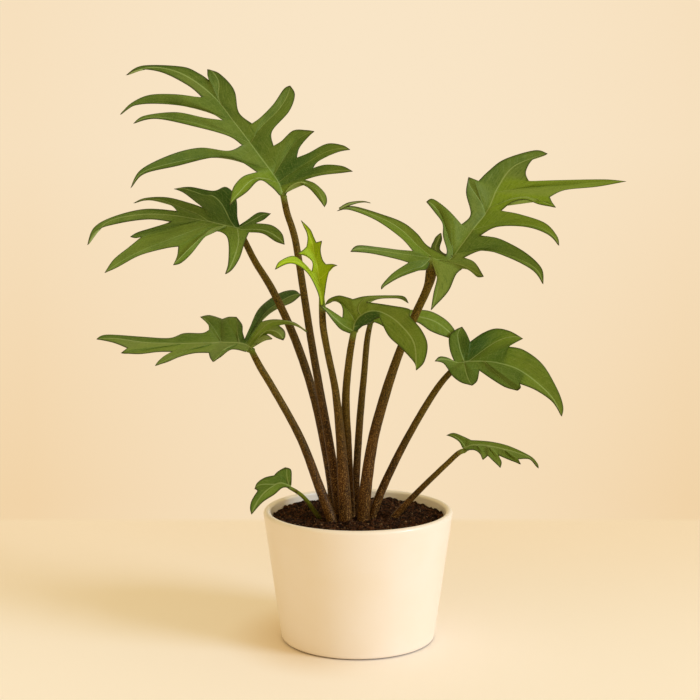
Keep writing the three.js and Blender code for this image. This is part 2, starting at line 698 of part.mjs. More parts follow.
// A leaf's shape in the front view and in depth.
class LeafShape {
  constructor(leaf) {
    this.leaf = leaf;
    this.lobes = leaf.lobes;
    this.main = leaf.lobes.find((lobe) => lobe.main);
    const [x, z] = leaf.junction;
    this.midrib = curveThrough([[x, z], ...leaf.midrib, this.main.tip]);
    this.seams = this.lobes.slice(0, -1).map((lobe, i) => this.seamShare(lobe, this.lobes[i + 1]));
    const shares = [0, 1, ...this.lobes.map((lobe) => this.rootShare(lobe)), ...this.seams];
    const last = this.lobes.indexOf(this.main);
    const edges = this.edges(last).map((edge) => edge.getLength());
    const steps = Math.max(2, Math.round(Math.max(...edges) / LOBE_STEP));
    const lastSeam = Math.max(...this.seams);
    for (let i = 1; i < steps; i++) shares.push(snapped(lerp(lastSeam, 1, i / steps)));
    this.stations = [...new Set(shares)].sort((a, b) => a - b);
  }

  // The two edges of lobe i, each from its notch to the tip.
  edges(i) {
    const lobe = this.lobes[i];
    const before = i ? this.lobes[i - 1].notch : this.leaf.start;
    const after = lobe.notch ?? this.leaf.end;
    const fall = [...lobe.fall].reverse();
    return [curveThrough([before, ...lobe.rise, lobe.tip]), curveThrough([after, ...fall, lobe.tip])];
  }

  rootShare(lobe) {
    return lobe.main ? 1 : snapped(lobe.root);
  }

  // The seam between two lobes starts on the midrib, between their roots, at the point nearest the notch.
  seamShare(lobe, next) {
    const roots = [this.rootShare(lobe), this.rootShare(next)].sort((a, b) => a - b);
    const notch = new THREE.Vector2(...lobe.notch);
    const furthest = Math.min(roots[1], SEAM_LIMIT) + SHARE_STEP / 2;
    const gapAt = (share) => this.midrib.getPointAt(share).distanceTo(notch);
    let best = roots[0];
    for (let share = roots[0]; share < furthest; share += SHARE_STEP) {
      if (gapAt(share) < gapAt(best)) best = share;
    }
    return snapped(best);
  }

  // A front-view point in space, ahead mm in front of the leaf's leaning plane.
  place({ x, y: z }, ahead) {
    const [jx, jz, jy] = this.leaf.junction;
    const [perX, perZ] = this.leaf.lean;
    return seen([x, z], jy + perX * (x - jx) + perZ * (z - jz) - ahead);
  }

  midribAhead(share) {
    return this.main.toward * share ** BEND;
  }

  midribPoint(share) {
    return this.place(this.midrib.getPointAt(share), this.midribAhead(share));
  }

  midribBetween(from, to) {
    const [low, high] = [Math.min(from, to), Math.max(from, to)];
    const run = this.stations.filter((share) => share >= low && share <= high);
    return (from > to ? run.reverse() : run).map((share) => this.midribPoint(share));
  }

  // The notch before lobe i, with how far it comes forward, and where its seam meets the midrib.
  notch(i) {
    if (i === 0 || i === this.lobes.length) return { ahead: 0, seam: 0 };
    const [lobe, next] = [this.lobes[i - 1], this.lobes[i]];
    const ahead = this.midribAhead(this.seams[i - 1]) + (NOTCH_SHARE * (lobe.toward + next.toward)) / 2;
    return { ahead, seam: this.seams[i - 1] };
  }

  // The lobe's vein from its root to its tip: drawn points if it has them, else midway between its edges.
  vein(lobe, rise, fall) {
    const root = this.midrib.getPointAt(this.rootShare(lobe));
    const rootAhead = this.midribAhead(this.rootShare(lobe));
    const drawn = lobe.vein && curveThrough([root.toArray(), ...lobe.vein, lobe.tip]);
    const offset = root.clone().sub(rise.getPointAt(0).lerp(fall.getPointAt(0), 0.5));
    const longest = Math.max(rise.getLength(), fall.getLength());
    const steps = Math.min(MOST_STEPS, Math.max(LEAST_STEPS, Math.round(longest / LOBE_STEP)));
    const points = [];
    for (let i = 1; i <= steps; i++) {
      const t = i / steps;
      const middle = rise.getPointAt(t).lerp(fall.getPointAt(t), 0.5).addScaledVector(offset, (1 - t) ** 2);
      const flat = drawn ? drawn.getPointAt(t) : middle;
      points.push(this.place(flat, lerp(rootAhead, lobe.toward, t ** BEND)));
    }
    return points;
  }

  // One half of a lobe, between its vein and one edge.
  half(lobe, vein, notch, edge, turned, sheet) {
    const inner = [...this.midribBetween(notch.seam, this.rootShare(lobe)), ...vein];
    const lengths = inner.map((point, i) => (i ? point.distanceTo(inner[i - 1]) : 0));
    const total = lengths.reduce((sum, length) => sum + length, 0);
    let gone = 0;
    const rows = inner.map((point, i) => {
      gone += lengths[i];
      const t = i === inner.length - 1 ? 1 : gone / total;
      const outer = this.place(edge.getPointAt(t), lerp(notch.ahead, lobe.toward, t ** BEND));
      const width = point.distanceTo(outer);
      const row = [];
      for (let v = 0; v <= ROWS; v++) {
        const share = v / ROWS;
        const middle = point.clone().lerp(outer, share);
        middle.y -= QUILT * width * Math.sin(Math.PI * t) * Math.sin(Math.PI * share);
        row.push(middle);
      }
      return row;
    });
    sheet.addGrid(rows, turned);
  }

  sheet() {
    const sheet = new Sheet();
    this.lobes.forEach((lobe, i) => {
      const [before, after] = [this.notch(i), this.notch(i + 1)];
      const [rise, fall] = this.edges(i);
      const vein = lobe.main ? [] : this.vein(lobe, rise, fall);
      this.half(lobe, vein, before, rise, false, sheet);
      this.half(lobe, vein, after, fall, true, sheet);
    });
    return sheet;
  }
}

function snapped(share) {
  return Math.round(share / SHARE_STEP) * SHARE_STEP;
}

// A narrow folded lobe: a ribbon of [x, z, y, half width] rows.
function ribbon(rows) {
  const sheet = new Sheet();
  const grid = rows.map(([x, z, y, half], i) => {
    const [x0, z0] = rows[Math.max(0, i - 1)];
    const [x1, z1] = rows[Math.min(rows.length - 1, i + 1)];
    const side = new THREE.Vector2(z0 - z1, x1 - x0).normalize().multiplyScalar(half);
    const [upper, lower] = [[x + side.x, z + side.y], [x - side.x, z - side.y]];
    return [seen(upper, y), seen([x, z], y - half * RIBBON_KEEL), seen(lower, y)];
  });
  sheet.addGrid(grid, true);
  return sheet.thickened();
}

// The petiole's route from the soil to the underside of the junction.
function petioleRoute(leaf, underside) {
  const rows = leaf.petiole;
  const points = rows.map(([x, z, y]) => seen([x, z], y));
  points[points.length - 1] = underside;
  const route = new THREE.CatmullRomCurve3(points, false, "centripetal");
  const radii = new THREE.SplineCurve(rows.map((row, i) => new THREE.Vector2(i, row[3])));
  const radiusAt = (share) => radii.getPoint(route.getUtoTmapping(share)).y;
  return { route, radiusAt, length: route.getLength() };
}

// A petiole from its foot, which stands straighter in the soil, up to the given share of its route.
function petioleTube({ route, radiusAt, length }, share, extra) {
  const steps = Math.max(2, Math.round((length * share) / PETIOLE_STEP));
  const points = [];
  const directions = [];
  const radii = [];
  for (let i = 0; i <= steps; i++) {
    const at = (share * i) / steps;
    points.push(route.getPointAt(at));
    directions.push(route.getTangentAt(at));
    radii.push(radiusAt(at) + extra);
  }
  const upright = directions[0].clone().add(new THREE.Vector3(0, 0, 1));
  points.unshift(points[0].clone().addScaledVector(upright, -(PETIOLE_DEPTH + extra) / upright.z));
  directions.unshift(upright);
  radii.unshift(radii[0]);
  return taperedTube(points, directions, radii);
}

// The green collar at the petiole's end and the main rib under the blade, tapering towards the tip.
function collarAndRib(shape, normalAt, route, seam) {
  const { length } = route;
  const radius = route.radiusAt(1);
  const start = seam + CLEARANCE / length;
  const end = route.route.getTangentAt(1);
  const base = route.route.getPointAt(1).addScaledVector(end, JOINT_OVERLAP * radius);
  const collar = taperedTube(
    [route.route.getPointAt(start), base],
    [route.route.getTangentAt(start), end],
    [route.radiusAt(start), COLLAR_TAPER * radius],
  );
  const shares = shape.stations.filter((share) => share <= RIB_SHARE);
  const points = [];
  const radii = [];
  for (const share of shares) {
    const ribRadius = lerp(radius, RIB_END_RADIUS, share / RIB_SHARE);
    radii.push(ribRadius);
    points.push(shape.midribPoint(share).addScaledVector(normalAt(share), -ribRadius));
  }
  points[0].add(new THREE.Vector3().subVectors(points[0], points[1]).setLength(JOINT_OVERLAP * radius));
  const directions = points.map((_, i) => {
    const [before, after] = [points[Math.max(i - 1, 0)], points[Math.min(i + 1, points.length - 1)]];
    return new THREE.Vector3().subVectors(after, before);
  });
  return collar.add(taperedTube(points, directions, radii));
}

// A leaf's two meshes, and the soil with the hole that its petiole stands in.
function makeLeaf(name, leaf, soil) {
  const shape = new LeafShape(leaf);
  const sheet = shape.sheet();
  const normals = sheet.normals();
  const normalAt = (share) => normals[sheet.vertex(shape.midribPoint(share), 0)];
  const radius = leaf.petiole[leaf.petiole.length - 1][3];
  const underside = shape.midribPoint(0).addScaledVector(normalAt(0), -radius);
  const route = petioleRoute(leaf, underside);
  const seam = 1 - COLLAR_LENGTH / route.length;
  let blade = sheet.thickened().add(collarAndRib(shape, normalAt, route, seam));
  for (const rows of FOLDED_LOBES[name] ?? []) blade = blade.add(ribbon(rows));
  const hole = petioleTube(route, Math.min(seam, HOLE_HEIGHT / route.length), CLEARANCE);
  const petioleFinish = name === "small_left" ? "greenPetiole" : "petiole";
  const bladeFinish = name === "young" ? "youngBlade" : "blade";
  return {
    soil: soil.subtract(hole),
    meshes: [
      meshOf(`petiole_${name}`, petioleTube(route, seam, 0), petioleFinish),
      meshOf(`blade_${name}`, blade, bladeFinish),
    ],
  };
}

function potRadius(z) {
  return lerp(POT_BASE_RADIUS, POT_RIM_RADIUS, z / POT_HEIGHT);
}

// The pot: a lathed wall with a rounded foot and a rounded lip.
function makePot() {
  const innerRadius = potRadius(POT_FLOOR) - POT_WALL;
  const profile = [new THREE.Vector2(0, POT_FLOOR), new THREE.Vector2(innerRadius, POT_FLOOR)];
  const lip = POT_WALL / 2;
  const foot = POT_FOOT_ROUND;
  for (let i = 0; i <= LIP_STEPS; i++) {
    const turn = Math.PI * (1 - i / LIP_STEPS);
    const x = POT_RIM_RADIUS - lip + lip * Math.cos(turn);
    profile.push(new THREE.Vector2(x, POT_HEIGHT - lip + lip * Math.sin(turn)));
  }
  for (let i = 0; i <= FOOT_STEPS; i++) {
    const turn = (-Math.PI / 2) * (i / FOOT_STEPS);
    const x = POT_BASE_RADIUS - foot + foot * Math.cos(turn);
    profile.push(new THREE.Vector2(x, foot + foot * Math.sin(turn)));
  }
  profile.push(new THREE.Vector2(0, 0));
  return solidOf(new THREE.LatheGeometry(profile.reverse(), POT_SEGMENTS).rotateX(Math.PI / 2));
}

// Crumbs of soil: two crossed, uneven waves.
function crumbs(x, y) {
  const rows = Math.sin(0.9 * x + 2 * Math.sin(0.23 * y));
  const columns = Math.sin(1.1 * y + 1.7 * Math.sin(0.31 * x));
  return rows + columns;
}

// The soil: fills the pot to a crumbly, slightly mounded top.
function makeSoil() {
  const floor = POT_FLOOR + CLEARANCE;
  const topRadius = potRadius(SOIL_TOP) - POT_WALL - CLEARANCE;
  const bottomRadius = potRadius(POT_FLOOR) - POT_WALL - CLEARANCE;
  const points = [new THREE.Vector3(0, 0, SOIL_TOP + SOIL_MOUND), new THREE.Vector3(0, 0, floor)];
  for (let ring = 1; ring <= SOIL_RINGS + 1; ring++) {
    const share = ring / SOIL_RINGS;
    for (let k = 0; k < POT_SEGMENTS; k++) {
      const turn = (2 * Math.PI * k) / POT_SEGMENTS;
      const radius = ring > SOIL_RINGS ? bottomRadius : topRadius * share;
      const [x, y] = [radius * Math.sin(turn), -radius * Math.cos(turn)];
      const relief = ring === SOIL_RINGS ? SOIL_EDGE_RELIEF : SOIL_RELIEF;
      const top = SOIL_TOP + SOIL_MOUND * (1 - share ** 2) + relief * crumbs(x, y);
      points.push(new THREE.Vector3(x, y, ring > SOIL_RINGS ? floor : top));
    }
  }
  const faces = [];
  const id = (ring, k) => 2 + ring * POT_SEGMENTS + (k % POT_SEGMENTS);
  for (let k = 0; k < POT_SEGMENTS; k++) {
    faces.push([0, id(0, k), id(0, k + 1)], [1, id(SOIL_RINGS, k + 1), id(SOIL_RINGS, k)]);
    for (let ring = 0; ring < SOIL_RINGS; ring++) {
      const [a, b] = [id(ring, k), id(ring + 1, k)];
      const [c, d] = [id(ring + 1, k + 1), id(ring, k + 1)];
      faces.push([a, b, c], [a, c, d]);
    }
  }
  return solidFrom(points, faces);
}

const plant = new THREE.Group();
plant.add(meshOf("pot", makePot(), "pot"));
let soil = makeSoil();
for (const [name, leaf] of Object.entries(LEAVES)) {
  const made = makeLeaf(name, leaf, soil);
  soil = made.soil;
  plant.add(...made.meshes);
}
plant.add(meshOf("soil", soil, "soil"));

export default plant;
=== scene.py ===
"""The look of a potted alocasia brancifolia: a cream pot, dark soil and ten deeply lobed leaves.

Everything is in the CAD model's frame: metres, +Z up, +Y away from the camera, origin under the pot.
"""

import math

import bpy
import numpy as np
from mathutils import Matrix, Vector, noise


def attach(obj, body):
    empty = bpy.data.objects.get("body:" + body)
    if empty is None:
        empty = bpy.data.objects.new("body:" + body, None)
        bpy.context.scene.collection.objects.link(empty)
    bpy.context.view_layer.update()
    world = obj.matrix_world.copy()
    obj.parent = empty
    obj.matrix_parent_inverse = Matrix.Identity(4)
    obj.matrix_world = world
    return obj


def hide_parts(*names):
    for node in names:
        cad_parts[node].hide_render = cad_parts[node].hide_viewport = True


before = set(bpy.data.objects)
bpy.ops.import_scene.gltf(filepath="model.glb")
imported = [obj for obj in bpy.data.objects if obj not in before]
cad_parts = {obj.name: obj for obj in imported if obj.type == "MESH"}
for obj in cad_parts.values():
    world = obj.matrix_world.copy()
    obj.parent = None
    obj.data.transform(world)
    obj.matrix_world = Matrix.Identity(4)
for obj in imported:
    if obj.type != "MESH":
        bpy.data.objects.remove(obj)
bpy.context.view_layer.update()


# The studio: a pale cream floor that fades into the backdrop, soft light from the right, and the
# camera. None of it belongs to the plant, and it all stands still.
MM = 0.001
BACKDROP_MIDDLE = (0.947, 0.783, 0.565)
BACKDROP_SIDE = (0.888, 0.658, 0.392)
BACKDROP_WIDTH = 0.225
BACKDROP_HEIGHT = 0.237
BACKDROP_TOP = 0.019
BACKDROP_SHADES = (0.3, 0.4)
FLOOR_NEAR = (0.985, 0.905, 0.84)
FLOOR_FAR = (0.92, 0.79, 0.66)
FLOOR_RADIUS = 4.0
FLOOR_BACK_EDGE = 0.385
FLOOR_FADE = 0.012
FLOOR_NEAR_EDGE = -0.15
FLOOR_OUTER = (1.2, 1.8)
FLOOR_ROUGHNESS = 0.7
FOOT_SHADE = (0.80, 0.62, 0.40)
FOOT_SHADE_REACH = (0.115, 0.058)
FOOT_SHADE_SIDE = (0.03, -0.06)
FOOT_SHADE_STRENGTH = 0.7
AMBIENT = (0.86, 0.70, 0.40)
KEY_TURN = math.radians(64)
KEY_HEIGHT = math.radians(22)
KEY_SPREAD = math.radians(24)
KEY_POWER = 2.4
KEY_COLOUR = (0.53, 0.68, 0.88)
EYE = Vector((0.0, -1.1, 0.365))
EYE_TILT = math.radians(6.95)
EYE_LENS = 72.65
EYE_SENSOR = 36
EYE_REACH = 50
EYE_SHIFT = -8 / 700


class Wire:
    """An output of a node, so that shader maths reads as an expression."""

    def __init__(self, paint, socket):
        self.paint = paint
        self.socket = socket

    def maths(self, operation, *values):
        inputs = dict(enumerate(values))
        return self.paint.node("ShaderNodeMath", dict(operation=operation), inputs)

    def __add__(self, other):
        return self.maths("ADD", self, other)

    def __sub__(self, other):
        return self.maths("SUBTRACT", self, other)

    def __rsub__(self, other):
        return self.maths("SUBTRACT", other, self)

    def __mul__(self, other):
        return self.maths("MULTIPLY", self, other)

    def __truediv__(self, other):
        return self.maths("DIVIDE", self, other)

    __radd__ = __add__
    __rmul__ = __mul__

    def distance_to_whole(self):
        """How far the value is from the nearest whole number, from 0 to 0.5."""
        return self.maths("PINGPONG", self, 0.5)

    def fade(self, start, stop):
        """A smooth step from 0 at start to 1 at stop."""
        settings = dict(interpolation_type="SMOOTHSTEP", clamp=True)
        ends = {1: min(start, stop), 2: max(start, stop)}
        if start > stop:
            ends.update({3: 1.0, 4: 0.0})
        return self.paint.node("ShaderNodeMapRange", settings, {0: self, **ends})


class Graph:
    """A node tree: node() makes any node, and the rest are the nodes used most."""

    def __init__(self, tree):
        self.tree = tree

    def node(self, kind, settings=None, inputs=None, output=0):
        made = self.tree.nodes.new(kind)
        for key, value in (settings or {}).items():
            setattr(made, key, value)
        for key, value in (inputs or {}).items():
            self.feed(made.inputs[key], value)
        return Wire(self, made.outputs[output])

    def feed(self, socket, value):
        if isinstance(value, Wire):
            self.tree.links.new(value.socket, socket)
        else:
            socket.default_value = value

    def mix(self, factor, first, second):
        """The first colour at factor 0, the second at 1."""
        colours = {6: opaque(first), 7: opaque(second)}
        settings = dict(data_type="RGBA", clamp_factor=True)
        return self.node("ShaderNodeMix", settings, {0: factor, **colours}, output=2)

    def part(self, vector, axis):
        return self.node("ShaderNodeSeparateXYZ", None, {0: vector}, output="xyz".index(axis))

    def vector(self, operation, *values, output=0):
        return self.node("ShaderNodeVectorMath", dict(operation=operation), dict(enumerate(values)), output)

    def length(self, vector):
        return self.vector("LENGTH", vector, output=1)

    def noise(self, size_mm, detail=2.0, stretch=None):
        """Cloudy noise from 0 to 1 whose features are about size_mm across."""
        place = self.node("ShaderNodeTexCoord", output=3)
        if stretch:
            place = self.vector("MULTIPLY", place, stretch)
        inputs = dict(Vector=place, Scale=1 / (size_mm * MM), Detail=detail)
        return self.node("ShaderNodeTexNoise", None, inputs)

    def backdrop(self, direction):
        """The backdrop's colour in a direction from the eye, with painted shade that makes it a little
        darker at the sides and lower down.
        """
        side = self.part(direction, "x") / BACKDROP_WIDTH
        side = (side * side).maths("MINIMUM", side * side, 1.0)
        low = (BACKDROP_TOP - self.part(direction, "z")) / BACKDROP_HEIGHT
        low = low.maths("MINIMUM", low.maths("MAXIMUM", low, 0.0), 1.0)
        at_side, at_foot = BACKDROP_SHADES
        shade = at_side * side + low * (at_foot + at_side * side)
        return self.mix(shade, BACKDROP_MIDDLE, BACKDROP_SIDE)


class Paint(Graph):
    """A material: shine() sets what the surface shader reads. Its slot is the finish it stands for."""

    def __init__(self, name, slot=None):
        self.material = bpy.data.materials.new(name)
        self.material.use_nodes = True
        self.slot = slot
        super().__init__(self.material.node_tree)
        self.shader = self.tree.nodes["Principled BSDF"]

    def shine(self, **sockets):
        for key, value in sockets.items():
            self.feed(self.shader.inputs[key.replace("_", " ")], value)

    def attribute(self, name):
        return self.node("ShaderNodeAttribute", dict(attribute_name=name), output=2)

    def bump(self, height, depth_mm, strength=1.0):
        inputs = dict(Height=height, Distance=depth_mm * MM, Strength=strength)
        self.shine(Normal=self.node("ShaderNodeBump", None, inputs))


def opaque(colour):
    return (*colour, 1.0) if isinstance(colour, tuple) and len(colour) == 3 else colour


def grid_mesh(name, points, faces, paint):
    """A mesh object from points in millimetres."""
    mesh = bpy.data.meshes.new(name)
    mesh.from_pydata((np.asarray(points) * MM).tolist(), [], faces)
    mesh.materials.append(paint.material)
    mesh.shade_smooth()
    return placed(name, mesh)


def placed(name, content):
    """A new object in the scene that holds a mesh, lamp or camera."""
    made = bpy.data.objects.new(name, content)
    bpy.context.scene.collection.objects.link(made)
    return made


def floor():
    """A wide floor that turns into the backdrop past its back edge, painted lighter towards the front and
    with a painted shadow by the pot's left foot.
    """
    paint = Paint("studio_floor")
    place = paint.node("ShaderNodeNewGeometry", output=0)
    depth = paint.part(place, "y")
    spread = paint.length(place)
    beyond = depth.fade(FLOOR_BACK_EDGE - FLOOR_FADE, FLOOR_BACK_EDGE + FLOOR_FADE)
    beyond = beyond.maths("MAXIMUM", beyond, spread.fade(*FLOOR_OUTER))
    sight = paint.vector("NORMALIZE", paint.vector("SUBTRACT", place, EYE))
    glow = paint.node("ShaderNodeEmission", None, dict(Color=paint.backdrop(sight)))
    # Painted light: the floor is lighter near the front and darker towards the back.
    colour = paint.mix(depth.fade(FLOOR_NEAR_EDGE, FLOOR_BACK_EDGE), FLOOR_NEAR, FLOOR_FAR)
    # Painted shadow: the floor is darkened beside the pot's left foot.
    shade = spread.fade(*FOOT_SHADE_REACH) * paint.part(place, "x").fade(*FOOT_SHADE_SIDE)
    colour = paint.mix(shade * FOOT_SHADE_STRENGTH, colour, FOOT_SHADE)
    paint.shine(Base_Color=colour, Roughness=FLOOR_ROUGHNESS)
    surface = {0: beyond, 1: Wire(paint, paint.shader.outputs[0]), 2: glow}
    blend = paint.node("ShaderNodeMixShader", None, surface)
    paint.feed(paint.tree.nodes["Material Output"].inputs["Surface"], blend)
    size = FLOOR_RADIUS / MM
    corners = [(-size, -size, 0), (size, -size, 0), (size, size, 0), (-size, size, 0)]
    grid_mesh("studio_floor", corners, [(0, 1, 2, 3)], paint)


def surroundings():
    """The world: the backdrop where the camera looks, and a plain warm light elsewhere."""
    world = bpy.data.worlds.new("studio")
    world.use_nodes = True
    bpy.context.scene.world = world
    sky = Graph(world.node_tree)
    direction = sky.node("ShaderNodeTexCoord", output=0)
    is_seen = sky.node("ShaderNodeLightPath", output=0)
    colour = sky.mix(is_seen, AMBIENT, sky.backdrop(direction))
    sky.feed(world.node_tree.nodes["Background"].inputs["Color"], colour)


def key_light():
    lamp = bpy.data.lights.new("key", "SUN")
    lamp.angle = KEY_SPREAD
    lamp.energy = KEY_POWER
    lamp.color = KEY_COLOUR
    carrier = placed("key", lamp)
    flat = math.cos(KEY_HEIGHT)
    source = Vector((flat * math.sin(KEY_TURN), -flat * math.cos(KEY_TURN), math.sin(KEY_HEIGHT)))
    carrier.rotation_euler = (-source).to_track_quat("-Z", "Y").to_euler()


def camera():
    lens = bpy.data.cameras.new("camera")
    lens.sensor_width = EYE_SENSOR
    lens.lens = EYE_LENS
    lens.shift_x = EYE_SHIFT
    lens.clip_end = EYE_REACH
    eye = placed("camera", lens)
    eye.location = EYE
    eye.rotation_euler = (math.pi / 2 - EYE_TILT, 0, 0)
    bpy.context.scene.camera = eye


floor()
surroundings()
key_light()
camera()
bpy.context.scene.view_settings.view_transform = "Standard"


# The pot: a plain tapered planter of cream ceramic with a satin glaze, 150 mm across the rim. It is
# thrown in one piece, with a rounded lip and a small rounded foot, and it carries everything else.
POT_RIM_RADIUS = 75
POT_BASE_RADIUS = 61.5
POT_HEIGHT = 104
POT_WALL = 5.4
POT_FLOOR = 6
POT_FOOT_ROUND = 3.2
POT_SECTORS = 256
GLAZE = (0.86, 0.755, 0.65)
GLAZE_WARM = (0.85, 0.735, 0.61)
INSIDE_PAINTED_LIGHT = (0.98, 0.86, 0.71)
GLAZE_SPECK = (0.62, 0.47, 0.3)
POT_FOOT_SHADOW = (0.16, 0.095, 0.05)
POT_FOOT_SHADOW_HEIGHTS = (1.6, 0.6)
INSIDE_LIGHT_STARTS = (3.6, 4.6)


def pot_radius(z):
    return POT_BASE_RADIUS + (POT_RIM_RADIUS - POT_BASE_RADIUS) * z / POT_HEIGHT


def arc(centre, radius, start, stop, steps):
    turns = np.linspace(math.radians(start), math.radians(stop), steps)
    return np.stack([centre[0] + radius * np.cos(turns), centre[1] + radius * np.sin(turns)], 1)


def lathe(profile, sectors):
    """Points and faces of a closed turned body. The profile runs from the axis to the axis."""
    turns = np.linspace(0, 2 * math.pi, sectors, endpoint=False)
    rings = profile[1:-1]
    x = rings[:, :1] * np.sin(turns)
    y = -rings[:, :1] * np.cos(turns)
    z = np.repeat(rings[:, 1:], sectors, axis=1)
    points = np.stack([x, y, z], -1).reshape(-1, 3)
    faces = []
    for ring in range(len(rings) - 1):
        for k in range(sectors):
            a, b = ring * sectors + k, ring * sectors + (k + 1) % sectors
            faces.append((a, b, b + sectors, a + sectors))
    last = (len(rings) - 1) * sectors
    start, stop = len(points), len(points) + 1
    points = np.vstack([points, (0, 0, profile[0, 1]), (0, 0, profile[-1, 1])])
    for k in range(sectors):
        after = (k + 1) % sectors
        faces += [(start, after, k), (stop, last + k, last + after)]
    return points, faces


def pot_profile():
    lip = POT_WALL / 2
    foot = arc((POT_BASE_RADIUS - POT_FOOT_ROUND, POT_FOOT_ROUND), POT_FOOT_ROUND, -90, 0, 9)
    rim = arc((POT_RIM_RADIUS - lip, POT_HEIGHT - lip), lip, 0, 180, 17)
    heights = np.linspace(POT_FOOT_ROUND, POT_HEIGHT - lip, 24)[1:-1]
    wall = np.linspace(foot[-1], rim[0], len(heights) + 2)[1:-1]
    floor_edge = (pot_radius(POT_FLOOR) - POT_WALL, POT_FLOOR)
    inside = np.linspace(rim[-1], floor_edge, 16)[1:]
    flat = [(POT_BASE_RADIUS * share, 0) for share in (0.0, 0.35, 0.7)]
    floor_line = [(floor_edge[0] * share, POT_FLOOR) for share in (0.7, 0.35, 0.0)]
    return np.vstack([flat, foot, wall, rim, inside, floor_line])


def glaze():
    """Satin glaze: faint warm clouds, pin-fine specks, a painted shadow round the foot, an uneven skin, and
    painted light that makes it whiter inside.
    """
    paint = Paint("cream_glaze")
    clouds = paint.noise(38, 3)
    specks = paint.noise(0.9, 1).fade(0.70, 0.78)
    colour = paint.mix(clouds.fade(0.3, 0.75), GLAZE, GLAZE_WARM)
    colour = paint.mix(specks * 0.08, colour, GLAZE_SPECK)
    place = paint.node("ShaderNodeTexCoord", output=3)
    height = paint.part(place, "z")
    # Painted shadow: a dark band at the very bottom deepens the contact shadow under the foot.
    foot = height.fade(POT_FOOT_SHADOW_HEIGHTS[0] * MM, POT_FOOT_SHADOW_HEIGHTS[1] * MM)
    colour = paint.mix(foot * 0.8, colour, POT_FOOT_SHADOW)
    # Painted light: the inside wall, which sits in shade, is painted whiter than the outside.
    slope = (POT_RIM_RADIUS - POT_BASE_RADIUS) / POT_HEIGHT
    spread = paint.length(paint.vector("MULTIPLY", place, (1.0, 1.0, 0.0))) - slope * height
    inside = spread.fade(*((POT_BASE_RADIUS - inset) * MM for inset in INSIDE_LIGHT_STARTS))
    colour = paint.mix(inside, colour, INSIDE_PAINTED_LIGHT)
    paint.shine(Base_Color=colour, Roughness=0.34 + 0.1 * paint.noise(12, 2), Coat_Weight=0.12)
    paint.bump(paint.noise(9, 3) + 0.25 * paint.noise(0.8, 1), 0.12, 0.35)
    return paint


def stand_for(piece, node):
    """Puts a piece in the place of a CAD node, on the only body."""
    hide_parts(node)
    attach(piece, "root")


stand_for(grid_mesh("pot_glazed", *lathe(pot_profile(), POT_SECTORS), glaze()), "pot")


# The soil: dark, damp potting mix that fills the pot to 7 mm below the rim. Its top is loose crumbs
# with a few lighter bits of bark, and it is heaped a little round the petioles and up the wall.
SOIL_TOP = 97
SOIL_MOUND = 1.6
SOIL_CLINGS = 1.9
SWELL_SIZE = 11
CRUMB_SIZES = (3.4, 1.5)
CRUMB_LEVEL = 0.42
SOIL_CLEARANCE = 0.3
SOIL_RINGS = 120
SOIL_SECTORS = 340
SOIL_DARK = (0.008, 0.0022, 0.0006)
SOIL_BROWN = (0.088, 0.031, 0.0105)
BARK = (0.30, 0.17, 0.075)
CRUMBS = 3000
CRUMB_SEED = 11
CRUMB_RADII = (0.35, 0.8)
LUMP = 1.9
LUMP_SHARE = 0.07
PALE_SHARE = 0.12
CRUMB_SHAPE = [(1, 0, 0), (-1, 0, 0), (0, 1, 0), (0, -1, 0), (0, 0, 1), (0, 0, -1)]
CRUMB_FACES = [(0, 2, 4), (2, 1, 4), (1, 3, 4), (3, 0, 4), (2, 0, 5), (1, 2, 5), (3, 1, 5), (0, 3, 5)]


def crumble(x, y):
    """Height of the crumbs over the smooth soil at a point, in millimetres."""
    coarse = noise.voronoi(Vector((x, y, 0)) / CRUMB_SIZES[0])[0][0]
    fine = noise.voronoi(Vector((x, y, 7)) / CRUMB_SIZES[1])[0][0]
    swell = noise.noise(Vector((x, y, 3)) / SWELL_SIZE)
    return 1.3 * swell + 2.9 * (CRUMB_LEVEL - coarse) + 1.5 * (CRUMB_LEVEL - fine)


def soil_height(x, y, radius):
    """Height of the top at a point: a low mound of crumbs, which rises here and there at the wall."""
    share = math.hypot(x, y) / radius
    clinging = max(0, 30 * share - 28.6) * max(0, noise.noise(Vector((x, y, 9)) / 5) + 0.25)
    loose = crumble(x, y) * min(1, 12 * (1 - share) + 0.5)
    return SOIL_TOP + SOIL_MOUND * (1 - share**2) + loose + SOIL_CLINGS * clinging


def soil_body():
    """Points and faces: a crumbly disc on a plain tapered plug."""
    top = pot_radius(SOIL_TOP) - POT_WALL - SOIL_CLEARANCE
    base = pot_radius(POT_FLOOR) - POT_WALL - SOIL_CLEARANCE
    floor_z = POT_FLOOR + SOIL_CLEARANCE
    side = [(top + (base - top) * s, SOIL_TOP + (floor_z - SOIL_TOP) * s) for s in (0.03, 0.5, 1.0)]
    disc = [(top * i / SOIL_RINGS, SOIL_TOP) for i in range(SOIL_RINGS, -1, -1)]
    profile = np.array([(0, floor_z), *reversed(side), *disc])
    points, faces = lathe(profile, SOIL_SECTORS)
    for point in points:
        if point[2] == SOIL_TOP:
            point[2] = soil_height(point[0], point[1], top)
    return points, faces, top


